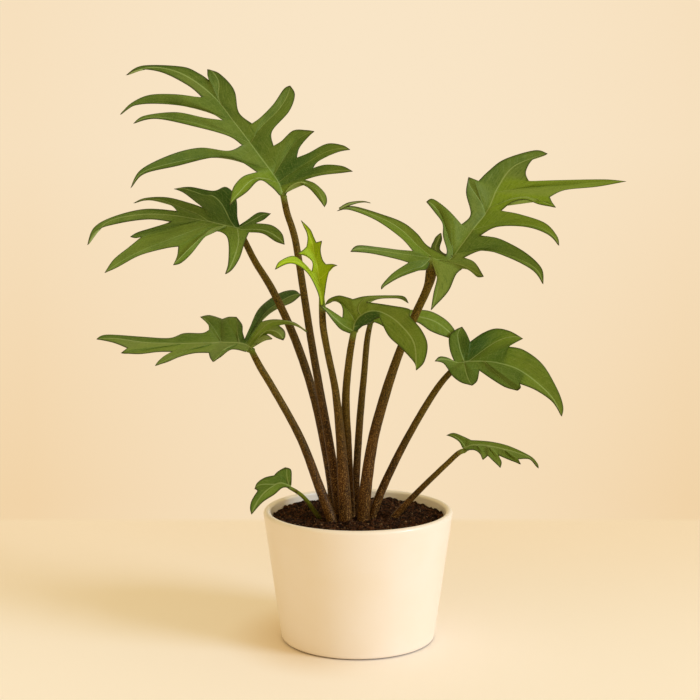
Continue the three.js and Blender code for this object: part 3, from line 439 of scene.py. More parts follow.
def scatter_crumbs(points, faces, top):
    """Loose crumbs half sunk in the top, with a paleness for every point."""
    draw = np.random.default_rng(CRUMB_SEED)
    points, pale = [points], [0.0] * len(points)
    count = len(pale)
    for _ in range(CRUMBS):
        turn = draw.uniform(0, 2 * math.pi)
        radius = (top - 1.2) * math.sqrt(draw.uniform(0, 1))
        size = draw.uniform(*CRUMB_RADII) * (LUMP if draw.uniform() > 1 - LUMP_SHARE else 1)
        x, y = radius * math.cos(turn), radius * math.sin(turn)
        middle = np.array([x, y, soil_height(x, y, top) + 0.2 * size])
        stretch = size * draw.uniform(0.6, 1.25, (len(CRUMB_SHAPE), 1))
        tilt = np.linalg.qr(draw.normal(size=(3, 3)))[0]
        if np.linalg.det(tilt) < 0:
            tilt[:, 0] *= -1
        points.append(middle + (np.array(CRUMB_SHAPE) * stretch) @ tilt.T)
        faces += [tuple(count + i for i in face) for face in CRUMB_FACES]
        count += len(CRUMB_SHAPE)
        is_pale = draw.uniform() > 1 - PALE_SHARE
        pale += [draw.uniform(0.25, 1) if is_pale else draw.uniform(0, 0.2)] * len(CRUMB_SHAPE)
    return np.vstack(points), faces, pale


def potting_mix():
    """Damp dark mix with browner crumbs and sparse light specks."""
    paint = Paint("potting_mix")
    browner = paint.noise(2.6, 4).fade(0.42, 0.7)
    speck = paint.noise(1.1, 1).fade(0.70, 0.76)
    speck = speck.maths("MAXIMUM", speck, paint.attribute("pale"))
    colour = paint.mix(browner, SOIL_DARK, SOIL_BROWN)
    colour = paint.mix(speck * 0.8, colour, BARK)
    paint.shine(Base_Color=colour, Roughness=0.95 - 0.3 * speck, Specular_IOR_Level=0.1)
    paint.bump(paint.noise(0.7, 3), 0.6, 0.9)
    return paint


soil_points, soil_faces, soil_radius = soil_body()
soil_points, soil_faces, soil_pale = scatter_crumbs(soil_points, soil_faces, soil_radius)
soil = grid_mesh("soil_crumbly", soil_points, soil_faces, potting_mix())
soil.data.attributes.new("pale", "FLOAT", "POINT").data.foreach_set("value", soil_pale)
stand_for(soil, "soil")


# The upper left leaf, the largest: a thin blade of eleven long pointed lobes, held up by a brown stalk
# that stands in the soil. This section also holds what all ten leaves share: how a blade spreads from
# its drawn midrib, veins and edges, and how stalk and blade are coloured. Sizes are in millimetres.
SIGHT_DISTANCE = 1100
SIGHT_HEIGHT = 365
ROOT_STEP = 0.02
STATION_STEP = 0.01
SAMPLE = 1.6
SEAM_LIMIT = 0.7
BEND = 1.5
NOTCH_SHARE = 0.2
QUILT = 0.045
COLUMNS = np.array([0, 0.035, 0.09, 0.18, 0.31, 0.46, 0.61, 0.75, 0.87, 0.96, 1])
HALF_MARGIN = 0.24
VEIN_RIDGE = 0.75
VEIN_WIDTH = 1.1
FOLD = 0.07
FOLD_SEED = 1
TIP_FOLDS = (0.5, 1.6)
RIPPLE = 0.9
RIPPLE_SIZE = 17
RIPPLE_START = 8
SIDE_VEIN_GAP = 6.5
SIDE_VEIN_SLANT = 0.8
SIDE_QUILT = 0.16
STREAK_ALONG = 0.09
STREAK_ACROSS = 0.9
STALK_DEPTH = 12
STALK_SIDES = 28
STALK_STEP = 2.4
STALK_FOOT_RINGS = 5
STALK_LUMPS = 0.035
STALK_FLUTES = 0.012
COLLAR = 8
COLLAR_END = 0.7
RIB_SHARE = 0.8
RIB_END = 0.35
RIB_FADE = 0.45
FAR_OFF = 9.0
SETTLE_ROUNDS = 40
SHADING_AND_LIME_ROUNDS = 14
TIP_LENGTH = 2.5
USUAL_LIME = 0.2
VALUES = ("edge", "vein", "tone", "lime", "tip", "under", "stalk")
RIBBON_KEEL = 0.25
LEAF_TONES = dict(
    green=(0.108, 0.158, 0.018), dark=(0.010, 0.048, 0.0001), light=(0.235, 0.275, 0.075),
    vein_colour=(0.33, 0.40, 0.13), lime_colour=(0.175, 0.255, 0.004),
)
LEAF_SHEEN = 0.16
MARGIN_BROWN = (0.036, 0.025, 0.002)
STALK_TONES = (
    (0.006, 0.0018, 0.0001), (0.066, 0.023, 0.0011), (0.48, 0.25, 0.07), (0.10, 0.064, 0.001)
)
COLLAR_GREEN = (0.13, 0.16, 0.015)


def lerp(a, b, t):
    return a + (b - a) * t


def smooth(t):
    return t * t * (3 - 2 * t)


def length_of(vectors):
    return np.linalg.norm(vectors, axis=-1, keepdims=True)


def seen(flat, depth):
    """Front-view points (x, z) at a depth y, as points in space."""
    scale = 1 + np.asarray(depth) / SIGHT_DISTANCE
    x, z = flat[..., 0] * scale, SIGHT_HEIGHT + (flat[..., 1] - SIGHT_HEIGHT) * scale
    return np.stack([x, depth + 0 * x, z], -1)


class Path:
    """A fine polyline that can be read at equal steps of its length."""

    def __init__(self, line):
        steps = length_of(np.diff(line[:, :3], axis=0))[:, 0]
        self.line = line
        self.gone = np.concatenate([[0], np.cumsum(steps)])
        self.length = self.gone[-1]

    def at(self, share):
        where = np.clip(share, 0, 1) * self.length
        return np.stack([np.interp(where, self.gone, column) for column in self.line.T], -1)

    def heading(self, share):
        ahead = self.at(share + 1e-3)[..., :3] - self.at(share - 1e-3)[..., :3]
        return ahead / length_of(ahead)


def spans(points, samples=60):
    """For each sample of a spline: its four neighbouring points, and how far it is from second to third."""
    turn = np.linspace(0, len(points) - 3, (len(points) - 3) * samples + 1)
    start = np.minimum(turn.astype(int), len(points) - 4)
    return [points[start + k] for k in range(4)], (turn - start)[:, None]


def hermite(start, stop, leave, arrive, t):
    cubic = 2 * start - 2 * stop + leave + arrive
    square = -3 * start + 3 * stop - 2 * leave - arrive
    return ((cubic * t + square) * t + leave) * t + start


def even_spline(points):
    points = np.array([points[0], *points, points[-1]], float)
    (a, b, c, d), t = spans(points)
    return hermite(b, c, (c - a) / 2, (d - b) / 2, t)


def drawn(points):
    """A smooth flat line through points of the front view."""
    return Path(even_spline(points))


def routed(points, radii):
    """A smooth line through points in space, with a radius that changes smoothly along it."""
    points = np.array(points, float)
    points = np.vstack([2 * points[0] - points[1], points, 2 * points[-1] - points[-2]])
    (a, b, c, d), t = spans(points)
    first, second, third = (np.sqrt(length_of(q - p)) for p, q in ((a, b), (b, c), (c, d)))
    leave = ((b - a) / first - (c - a) / (first + second) + (c - b) / second) * second
    arrive = ((c - b) / second - (d - b) / (second + third) + (d - c) / third) * second
    width = even_spline([(radius,) for radius in radii])
    return Path(np.hstack([hermite(b, c, leave, arrive, t), width]))


def snapped(share):
    return round(share / ROOT_STEP) * ROOT_STEP


class LeafShape:
    """A leaf in the front view and in depth: midrib, lobes, and the veins and edges of each lobe.

    A lobe's root is where its vein leaves the midrib, as a share of it, and 1 is the lobe at its end. Its
    rise and fall are the edges' points up to the tip and from it, notch is where the next lobe starts, and
    toward is how far the tip comes forward. The light and shade painted on it, from dark to light, is given
    at root and tip of the first half and then of the second, and stands in for how the lobe faces the light;
    lime is how far it turns to lime green.
    """

    def __init__(self, leaf):
        self.leaf = leaf
        self.lobes = leaf["lobes"]
        self.main = next(lobe for lobe in self.lobes if lobe["root"] == 1)
        x, z, self.depth = leaf["junction"]
        self.corner = np.array([x, z])
        self.midrib = drawn([(x, z), *leaf["midrib"], self.main["tip"]])
        self.seams = [self.seam(*pair) for pair in zip(self.lobes, self.lobes[1:])]
        self.stations = np.round(np.arange(0, 1 + STATION_STEP / 2, STATION_STEP), 3)

    def edges(self, i):
        """The two edges of lobe i, each from its notch to the tip."""
        lobe = self.lobes[i]
        before = self.lobes[i - 1]["notch"] if i else self.leaf["start"]
        after = lobe.get("notch", self.leaf["end"])
        rise = drawn([before, *lobe.get("rise", []), lobe["tip"]])
        return rise, drawn([after, *reversed(lobe.get("fall", [])), lobe["tip"]])

    def seam(self, lobe, after):
        """Where on the midrib the seam between two lobes starts: between their roots, nearest the notch."""
        low, high = sorted([snapped(lobe["root"]), snapped(after["root"])])
        shares = np.arange(low, min(high, SEAM_LIMIT) + ROOT_STEP / 2, ROOT_STEP)
        if not len(shares):
            return low
        gaps = length_of(self.midrib.at(shares) - np.array(lobe["notch"]))
        return snapped(shares[int(np.argmin(gaps))])

    def place(self, flat, ahead):
        """Front-view points in space, ahead mm in front of the leaf's leaning plane."""
        lean = (flat - self.corner) @ np.array(self.leaf["lean"])
        return seen(flat, self.depth + lean - ahead)

    def midrib_points(self, shares):
        return self.place(self.midrib.at(shares), self.main["toward"] * shares**BEND)

    def midrib_between(self, start, stop):
        low, high = min(start, stop) - 1e-6, max(start, stop) + 1e-6
        run = self.stations[(self.stations >= low) & (self.stations <= high)]
        return self.midrib_points(run[::-1] if start > stop else run)

    def notch(self, i):
        """How far the notch before lobe i comes forward, and where its seam leaves the midrib."""
        if i in (0, len(self.lobes)):
            return 0.0, 0.0
        seam = self.seams[i - 1]
        both = self.lobes[i - 1]["toward"] + self.lobes[i]["toward"]
        return self.main["toward"] * seam**BEND + NOTCH_SHARE * both / 2, seam

    def vein(self, lobe, rise, fall):
        """A side lobe's vein, drawn or midway between its edges. The end lobe has the midrib instead."""
        if lobe is self.main:
            return np.zeros((0, 3))
        share = snapped(lobe["root"])
        root = self.midrib.at(share)
        steps = max(8, round(max(rise.length, fall.length) / SAMPLE))
        t = np.arange(1, steps + 1) / steps
        if "vein" in lobe:
            flat = drawn([root, *lobe["vein"], lobe["tip"]]).at(t)
        else:
            offset = root - (rise.at(0) + fall.at(0)) / 2
            flat = (rise.at(t) + fall.at(t)) / 2 + offset * (1 - t[:, None]) ** 2
        ahead = lerp(self.main["toward"] * share**BEND, lobe["toward"], t**BEND)
        return self.place(flat, ahead)


class Shell:
    """Collects the points and faces of one piece, with values per point and (along, across) per corner.

    Every face is four numbers; a triangle has its last one twice.
    """

    def __init__(self):
        self.points = np.zeros((0, 3))
        self.faces = np.zeros((0, 4), int)
        self.corners = np.zeros((0, 4, 2))
        self.values = {name: np.zeros(0) for name in VALUES}

    def add(self, points, faces, corners=None, **values):
        faces = np.asarray(faces) + len(self.points)
        corners = np.zeros((len(faces), 4, 2)) if corners is None else corners
        self.points = np.vstack([self.points, points])
        self.faces = np.vstack([self.faces, faces])
        self.corners = np.vstack([self.corners, corners])
        for name in VALUES:
            fresh = np.broadcast_to(values.get(name, 0.0), len(points))
            self.values[name] = np.concatenate([self.values[name], fresh])

    def piece(self, name, paint, node):
        """Turns what was collected into the scene's piece for a CAD node."""
        used = np.ones(self.faces.shape, bool)
        used[:, 3] = self.faces[:, 2] != self.faces[:, 3]
        faces = [tuple(face[keep]) for face, keep in zip(self.faces, used)]
        made = grid_mesh(name, self.points, faces, paint)
        for key, value in self.values.items():
            made.data.attributes.new(key, "FLOAT", "POINT").data.foreach_set("value", value)
        chart = made.data.uv_layers.new(name="lobe")
        chart.data.foreach_set("uv", self.corners[used].ravel())
        stand_for(made, node)


class Sheet:
    """A blade without thickness: grids of points from a vein out to an edge, joined where they meet."""

    def __init__(self, shape):
        self.points, self.faces, self.corners = [], [], []
        self.values = {name: [] for name in (*VALUES, "lift", "ribs")}
        self.count = 0
        folds = np.random.default_rng(FOLD_SEED).uniform(*TIP_FOLDS, (len(shape.lobes), 2))[:, 0]
        for i, lobe in enumerate(shape.lobes):
            edges = shape.edges(i)
            vein = shape.vein(lobe, *edges)
            for turned in (False, True):
                notch = shape.notch(i + turned)
                self.half(shape, lobe, vein, notch, edges[turned], turned, FOLD * folds[i])
        self.join()

    def half(self, shape, lobe, vein, notch, edge, turned, tip_fold):
        """One half of a lobe, between its vein and one edge."""
        notch_ahead, seam = notch
        trunk = shape.midrib_between(seam, snapped(lobe["root"]))
        inner = np.vstack([trunk, vein])
        gone = np.concatenate([[0], np.cumsum(length_of(np.diff(inner, axis=0)))])
        t = (gone / gone[-1])[:, None]
        ahead = lerp(notch_ahead, lobe["toward"], t[:, 0] ** BEND)
        outer = shape.place(edge.at(t[:, 0]), ahead)
        width = length_of(outer - inner)
        grid = inner[:, None] + (outer - inner)[:, None] * COLUMNS[:, None]
        along = (gone - gone[len(trunk) - 1])[:, None] + 0 * COLUMNS
        across = width * COLUMNS
        hump = np.sin(math.pi * COLUMNS) ** 2
        ribs = np.cos(2 * math.pi * (along - SIDE_VEIN_SLANT * across) / SIDE_VEIN_GAP)
        fold = lerp(FOLD, tip_fold, smooth(t))
        lift = fold * across * COLUMNS + QUILT * width * np.sin(math.pi * t) * hump
        ribs = SIDE_QUILT * ribs * hump * np.minimum(1, 3 * t) * np.minimum(1, width / 9)
        ids = np.arange(across.size).reshape(across.shape) + self.count
        chart = np.stack([along, -across if turned else across], -1)
        faces, corners = ([
            np.stack([values[:-1, :-1], values[1:, :-1], values[1:, 1:], values[:-1, 1:]], 2)
            for values in (ids, chart)
        ])
        order = [3, 2, 1, 0] if turned else [0, 1, 2, 3]
        self.points.append(grid.reshape(-1, 3))
        self.faces.append(faces.reshape(-1, 4)[:, order])
        self.corners.append(corners.reshape(-1, 4, 2)[:, order])
        self.count += across.size
        fresh = dict(edge=width * (1 - COLUMNS), vein=across, lift=lift, ribs=ribs)
        fresh["lime"] = lobe.get("lime", USUAL_LIME)
        fresh["tone"] = lerp(*lobe["tone"][2 * turned:][:2], smooth(t)) + 0 * across
        fresh["tip"] = np.exp(-length_of(grid - outer[-1])[..., 0] / TIP_LENGTH)
        for name, kept in self.values.items():
            kept.append(np.broadcast_to(fresh.get(name, 0.0), across.shape).ravel())

    def join(self):
        """Joins points that coincide, and takes the mean of their values."""
        points = np.vstack(self.points)
        keys = np.round(points, 2)
        _, first, names = np.unique(keys, axis=0, return_index=True, return_inverse=True)
        names = names.reshape(-1)
        shared = np.bincount(names)
        self.points = points[first]
        for name, value in self.values.items():
            self.values[name] = np.bincount(names, weights=np.concatenate(value)) / shared
        faces, corners = names[np.vstack(self.faces)], np.vstack(self.corners)
        repeats = faces == np.roll(faces, 1, axis=1)
        for k in range(4):
            turned = repeats[:, k] & (repeats.sum(1) == 1)
            faces[turned] = np.roll(faces[turned], 3 - k, axis=1)
            corners[turned] = np.roll(corners[turned], 3 - k, axis=1)
        crossed = (faces[:, 0] == faces[:, 2]) | (faces[:, 1] == faces[:, 3])
        kept = (repeats.sum(1) < 2) & ~crossed
        self.faces, self.corners = faces[kept], corners[kept]

    def settle(self):
        """Evens out depth and the painted light and shade, so that lobes flow together, then lifts the blade
        off its veins.
        """
        links = np.vstack([self.faces[:, [k, k - 1]] for k in range(4)])
        links = np.unique(np.sort(links, axis=1), axis=0)
        links = links[links[:, 0] != links[:, 1]]
        count = len(self.points)
        shared = np.bincount(links.ravel(), minlength=count)
        inside = np.where(self.values["edge"] > 0.05, 0.5, 0.0)
        off_vein = np.where(self.values["vein"] > 0.05, 0.5, 0.0)
        tone, lime = self.values["tone"], self.values["lime"]
        for values, give, rounds in (
            (self.points[:, 1], inside, SETTLE_ROUNDS), (self.values["lift"], 0.5, SETTLE_ROUNDS),
            (tone, off_vein, SHADING_AND_LIME_ROUNDS), (lime, off_vein, SHADING_AND_LIME_ROUNDS),
        ):
            for _ in range(rounds):
                total = np.bincount(links[:, 0], weights=values[links[:, 1]], minlength=count)
                total += np.bincount(links[:, 1], weights=values[links[:, 0]], minlength=count)
                values += (total / shared - values) * give
        self.points[:, 1] -= self.values.pop("lift") - self.values.pop("ribs")

    def ripple(self):
        """A slow wave over the blade that grows towards the edges."""
        for point, across in zip(self.points, self.values["vein"]):
            wave = noise.noise(Vector(point) / RIPPLE_SIZE)
            point[1] += RIPPLE * wave * min(1, across / RIPPLE_START)

    def normals(self):
        a, b, c, d = (self.points[self.faces[:, k]] for k in range(4))
        normal = np.zeros_like(self.points)
        for k in range(4):
            np.add.at(normal, self.faces[:, k], np.cross(c - a, d - b))
        return normal / np.maximum(length_of(normal), 1e-9)

    def thicken(self, shell):
        """Adds both faces and the thin margin between them, with a ridge under each vein."""
        half = HALF_MARGIN * np.minimum(1, 0.5 + self.values["edge"] / 2)[:, None]
        ridge = VEIN_RIDGE * np.exp(-((self.values["vein"] / VEIN_WIDTH) ** 2)) * (1 - self.values["tip"])
        count = len(self.points)
        start = len(shell.points)
        shell.add(self.points + self.normal * half, self.faces, self.corners, **self.values)
        back = self.points - self.normal * (half + ridge[:, None])
        flip = np.where((self.faces[:, 2] == self.faces[:, 3])[:, None], [1, 0, 2, 2], [3, 2, 1, 0])
        rows = np.arange(len(flip))[:, None]
        values = {**self.values, "under": 1.0}
        shell.add(back, self.faces[rows, flip], self.corners[rows, flip], **values)
        edges = np.vstack([self.faces[:, [k - 1, k]] for k in range(4)])
        edges = edges[edges[:, 0] != edges[:, 1]]
        codes = edges @ [count, 1]
        edges = edges[~np.isin(codes, edges @ [1, count])] + start
        a, b = edges.T
        margin = np.stack([b, a, a + count, b + count], 1)
        shell.faces = np.vstack([shell.faces, margin])
        shell.corners = np.vstack([shell.corners, np.zeros((len(margin), 4, 2))])


def tube(points, headings, radii, sides=STALK_SIDES, bumps=None):
    """A closed tube: points, faces, and each point's ring. bumps(turns, ring) scales the radius."""
    turns = np.linspace(0, 2 * math.pi, sides, endpoint=False)
    across = np.array([1.0, 1.0, 0.0])
    made = []
    for i, (point, heading, radius) in enumerate(zip(points, headings, radii)):
        heading = heading / np.linalg.norm(heading)
        across = across - heading * (across @ heading)
        across = across / np.linalg.norm(across)
        third = np.cross(heading, across)
        reach = radius * (bumps(turns, i) if bumps else np.ones(sides))
        spokes = np.outer(np.cos(turns), across) + np.outer(np.sin(turns), third)
        made.append(point + spokes * reach[:, None])
    rings = np.arange(len(made))
    a = (rings[:-1, None] * sides + np.arange(sides)).ravel()
    b = (rings[:-1, None] * sides + (np.arange(sides) + 1) % sides).ravel()
    start, stop = len(made) * sides, len(made) * sides + 1
    k, after = np.arange(sides), (np.arange(sides) + 1) % sides
    last = rings[-1] * sides
    wall = np.stack([a, b, b + sides, a + sides], 1)
    foot = np.stack([start + 0 * k, after, k, k], 1)
    head = np.stack([stop + 0 * k, last + k, last + after, last + after], 1)
    rings = np.append(np.repeat(rings, sides), [0, rings[-1]])
    return np.vstack([*made, points[:1], points[-1:]]), np.vstack([wall, foot, head]), rings


def stalk(name, route, seam, paint):
    """A leaf stalk from its foot in the soil up to the green collar under the blade."""
    steps = max(2, round(route.length * seam / STALK_STEP))
    shares = seam * np.arange(steps + 1) / steps
    rows = route.at(shares)
    headings = route.heading(shares)
    upright = headings[0] + np.array([0, 0, 1.0])
    depths = np.linspace(STALK_DEPTH, 2, STALK_FOOT_RINGS)
    points = np.vstack([rows[:1, :3] - upright * depths[:, None] / upright[2], rows[:, :3]])
    headings = np.vstack([np.repeat([upright], STALK_FOOT_RINGS, 0), headings])
    radii = np.concatenate([np.repeat(rows[0, 3], STALK_FOOT_RINGS), rows[:, 3]])
    start = Vector((points[0, 0], points[0, 1], 0))

    def bumps(turns, ring):
        made = []
        for t in turns:
            spot = start + Vector((math.cos(t), math.sin(t), 0)) * 1.6 + Vector((0, 0, ring * 0.42))
            made.append(1 + STALK_LUMPS * noise.noise(spot) + STALK_FLUTES * math.sin(5 * t))
        return np.array(made)

    points, faces, rings = tube(points, headings, radii, bumps=bumps)
    shell = Shell()
    height = (rings - STALK_FOOT_RINGS) / steps
    shell.add(points, faces, stalk=height)
    shell.piece(f"stalk_{name}", paint, f"petiole_{name}")


def collar_and_rib(shape, sheet, midrib, route, seam, shell):
    """The stalk's green end and the main rib that it turns into, tapering under the midrib."""
    radius = route.at(1)[3]
    shares = lerp(seam + 0.02 / route.length, 1, np.linspace(0, 1, 6))
    rows = route.at(shares)
    headings = route.heading(shares)
    end = rows[-1, :3] + headings[-1] * COLLAR_END * radius
    points = np.vstack([rows[:, :3], end])
    headings = np.vstack([headings, headings[-1]])
    made, faces, rings = tube(points, headings, np.append(rows[:, 3], 0.8 * radius))
    shell.add(made, faces, stalk=1.0 - rings / 12, edge=FAR_OFF, vein=FAR_OFF)
    shares = shape.stations[: len(midrib)]
    widths = lerp(radius, RIB_END, (shares / RIB_SHARE) ** 0.7)
    line = sheet.points[midrib] - sheet.normal[midrib] * widths[:, None]
    back = line[0] - line[1]
    line[0] += back / np.linalg.norm(back) * COLLAR_END * radius
    made, faces, rings = tube(line, np.gradient(line, axis=0), widths)
    fade = np.maximum(0, RIB_FADE - rings / len(shares))
    shell.add(made, faces, stalk=fade, edge=FAR_OFF, vein=FAR_OFF, under=1.0)


def grow(name, blade_paint, stalk_paint, **leaf):
    """A leaf: its blade and its stalk, whose petiole is rows of (x, height, depth, radius)."""
    shape = LeafShape(leaf)
    sheet = Sheet(shape)
    names = {tuple(point): i for i, point in enumerate(np.round(sheet.points, 2))}
    shares = shape.stations[shape.stations <= RIB_SHARE]
    midrib = [names[tuple(point)] for point in np.round(shape.midrib_points(shares), 2)]
    sheet.settle()
    sheet.ripple()
    sheet.normal = sheet.normals()
    rows = np.array(leaf["petiole"], float)
    stations = seen(rows[:, :2], rows[:, 2])
    stations[-1] = sheet.points[midrib[0]] - sheet.normal[midrib[0]] * rows[-1, 3]
    route = routed(stations, rows[:, 3])
    seam = 1 - COLLAR / route.length
    shell = Shell()
    sheet.thicken(shell)
    collar_and_rib(shape, sheet, midrib, route, seam, shell)
    for ribbon in leaf.get("folded", []):
        fold_over(ribbon, shell)
    shell.piece(f"leaf_{name}", blade_paint, f"blade_{name}")
    stalk(name, route, seam, stalk_paint)


def fold_over(rows, shell):
    """A narrow lobe that folds back over the blade, as rows of (x, z, depth, half width)."""
    rows = np.array(rows, float)
    line = Path(even_spline(rows))
    count = max(8, round(line.length / SAMPLE))
    rows = line.at(np.linspace(0, 1, count))
    flat, depth, width = rows[:, :2], rows[:, 2], np.maximum(rows[:, 3], 0.15)
    ahead = np.gradient(flat, axis=0)
    side = np.stack([-ahead[:, 1], ahead[:, 0]], 1) / length_of(ahead)
    shares = np.linspace(-1, 1, 9)
    grid = flat[:, None] + side[:, None] * (width[:, None] * shares)[..., None]
    lift = RIBBON_KEEL * width[:, None] * (1 - np.abs(shares))
    sheet = seen(grid, depth[:, None] - lift)
    ids = np.arange(sheet[..., 0].size).reshape(sheet.shape[:2])
    faces = np.stack([ids[:-1, 1:], ids[1:, 1:], ids[1:, :-1], ids[:-1, :-1]], 2).reshape(-1, 4)
    normal = np.cross(np.gradient(sheet, axis=0), np.gradient(sheet, axis=1))
    normal = normal / length_of(normal)
    if normal[..., 1].mean() > 0:
        normal, faces = -normal, faces[:, ::-1]
    count = ids.size
    both = np.vstack([(sheet + normal * half).reshape(-1, 3) for half in (HALF_MARGIN, -HALF_MARGIN)])
    edges = np.vstack([faces[:, [k - 1, k]] for k in range(4)])
    edges = edges[~np.isin(edges @ [count, 1], edges @ [1, count])]
    a, b = edges.T
    faces = np.vstack([faces, faces[:, ::-1] + count, np.stack([b, a, a + count, b + count], 1)])
    edge = (width[:, None] * (1 - np.abs(shares))).ravel()
    vein = (width[:, None] * np.abs(shares)).ravel()
    shell.add(both, faces, edge=np.tile(edge, 2), vein=np.tile(vein, 2), under=0.3)


def mottled(paint, height, dark, brown, tan, green):
    """A stalk's colour: brown, finely mottled with dark and tan grains, and greener on top."""
    coarse = paint.noise(6, 3, stretch=(1.0, 1.0, 0.35))
    grain = paint.noise(0.62, 4, stretch=(1.0, 1.0, 0.6))
    spots = paint.noise(0.55, 1, stretch=(1.0, 1.0, 0.8))
    colour = paint.mix(coarse.fade(0.3, 0.65) * 0.7 + 0.3, dark, brown)
    colour = paint.mix(height.fade(0.1, 1.0), colour, green)
    colour = paint.mix(grain.fade(0.52, 0.7) * 0.3, colour, tan)
    colour = paint.mix(grain.fade(0.5, 0.34) * 0.85, colour, dark)
    return paint.mix(spots.fade(0.6, 0.67) * height.fade(0.55, 0.0), colour, tan)


def leaf_skin(name, slot, green, dark, light, vein_colour, lime_colour):
    """Satin leaf: green, with paler veins, faint side veins, a brown margin, slow random changes of tone,
    and painted light and shade lobe by lobe.
    """
    paint = Paint(name, slot)
    edge, vein, tone, lime, tip, under, collar = (paint.attribute(key) for key in VALUES)
    chart = paint.node("ShaderNodeUVMap", dict(uv_map="lobe"))
    across = paint.part(chart, "y")
    across = across.maths("ABSOLUTE", across)
    rows = paint.part(chart, "x") - SIDE_VEIN_SLANT * across + 2.2 * paint.noise(14, 1)
    side_vein = (rows / SIDE_VEIN_GAP).distance_to_whole().fade(0.07, 0.0)
    side_vein = side_vein * across.fade(0.3, 2.2) * edge.fade(0.6, 3.0)
    clouds = paint.noise(16, 3)
    fine = paint.noise(0.9, 3)
    streaks = paint.vector("MULTIPLY", chart, (STREAK_ALONG, STREAK_ACROSS, 1.0))
    streaks = paint.node("ShaderNodeTexNoise", None, dict(Vector=streaks, Scale=1.0, Detail=2.0))
    colour = paint.mix(clouds.fade(0.35, 0.7) * 0.35, green, dark)
    colour = paint.mix(lime, colour, lime_colour)
    # Painted light and shade: each lobe is painted lighter or darker for how it faces the light.
    colour = paint.mix(tone * 0.75, colour, light)
    colour = paint.mix(tone * -0.95, colour, dark)
    colour = paint.mix(fine.fade(0.45, 0.75) * 0.2, colour, light)
    colour = paint.mix(fine.fade(0.5, 0.25) * 0.25, colour, dark)
    colour = paint.mix(streaks.fade(0.52, 0.75) * 0.28, colour, light)
    colour = paint.mix(streaks.fade(0.48, 0.25) * 0.4, colour, dark)
    colour = paint.mix(edge.fade(2.6, 0.3) * (1 - under) * 0.4, colour, dark)
    colour = paint.mix(side_vein * 0.09, colour, vein_colour)
    colour = paint.mix(vein.fade(0.8, 0.2) * (1 - tip) * 0.5, colour, vein_colour)
    colour = paint.mix(under * 0.3, colour, vein_colour)
    colour = paint.mix(edge.fade(0.85, 0.35) * 0.8, colour, MARGIN_BROWN)
    colour = paint.mix(tip.fade(0.3, 0.8) * 0.8, colour, MARGIN_BROWN)
    colour = paint.mix(collar.fade(0.05, 0.6), colour, COLLAR_GREEN)
    colour = paint.mix(collar.fade(0.6, 1.0), colour, mottled(paint, collar, *STALK_TONES))
    paint.shine(Base_Color=colour, Roughness=0.46 + 0.14 * clouds, Specular_IOR_Level=LEAF_SHEEN)
    paint.bump(0.6 * side_vein + 0.5 * fine, 0.14, 0.5)
    return paint


def stalk_skin(name, slot, tones):
    """Leaf stalk: mottled, with a satin skin that the grain makes a little uneven."""
    paint = Paint(name, slot)
    grain = paint.noise(0.5, 3, stretch=(1.0, 1.0, 0.6))
    colour = mottled(paint, paint.attribute("stalk"), *tones)
    paint.shine(Base_Color=colour, Roughness=0.42 + 0.2 * grain, Specular_IOR_Level=0.12)
    paint.bump(grain + 0.8 * paint.noise(5, 3, stretch=(1.0, 1.0, 0.4)), 0.22, 0.8)
    return paint


brown_stalk = stalk_skin("brown_stalk", "petiole", STALK_TONES)
green_leaf = leaf_skin("green_leaf", "blade", **LEAF_TONES)

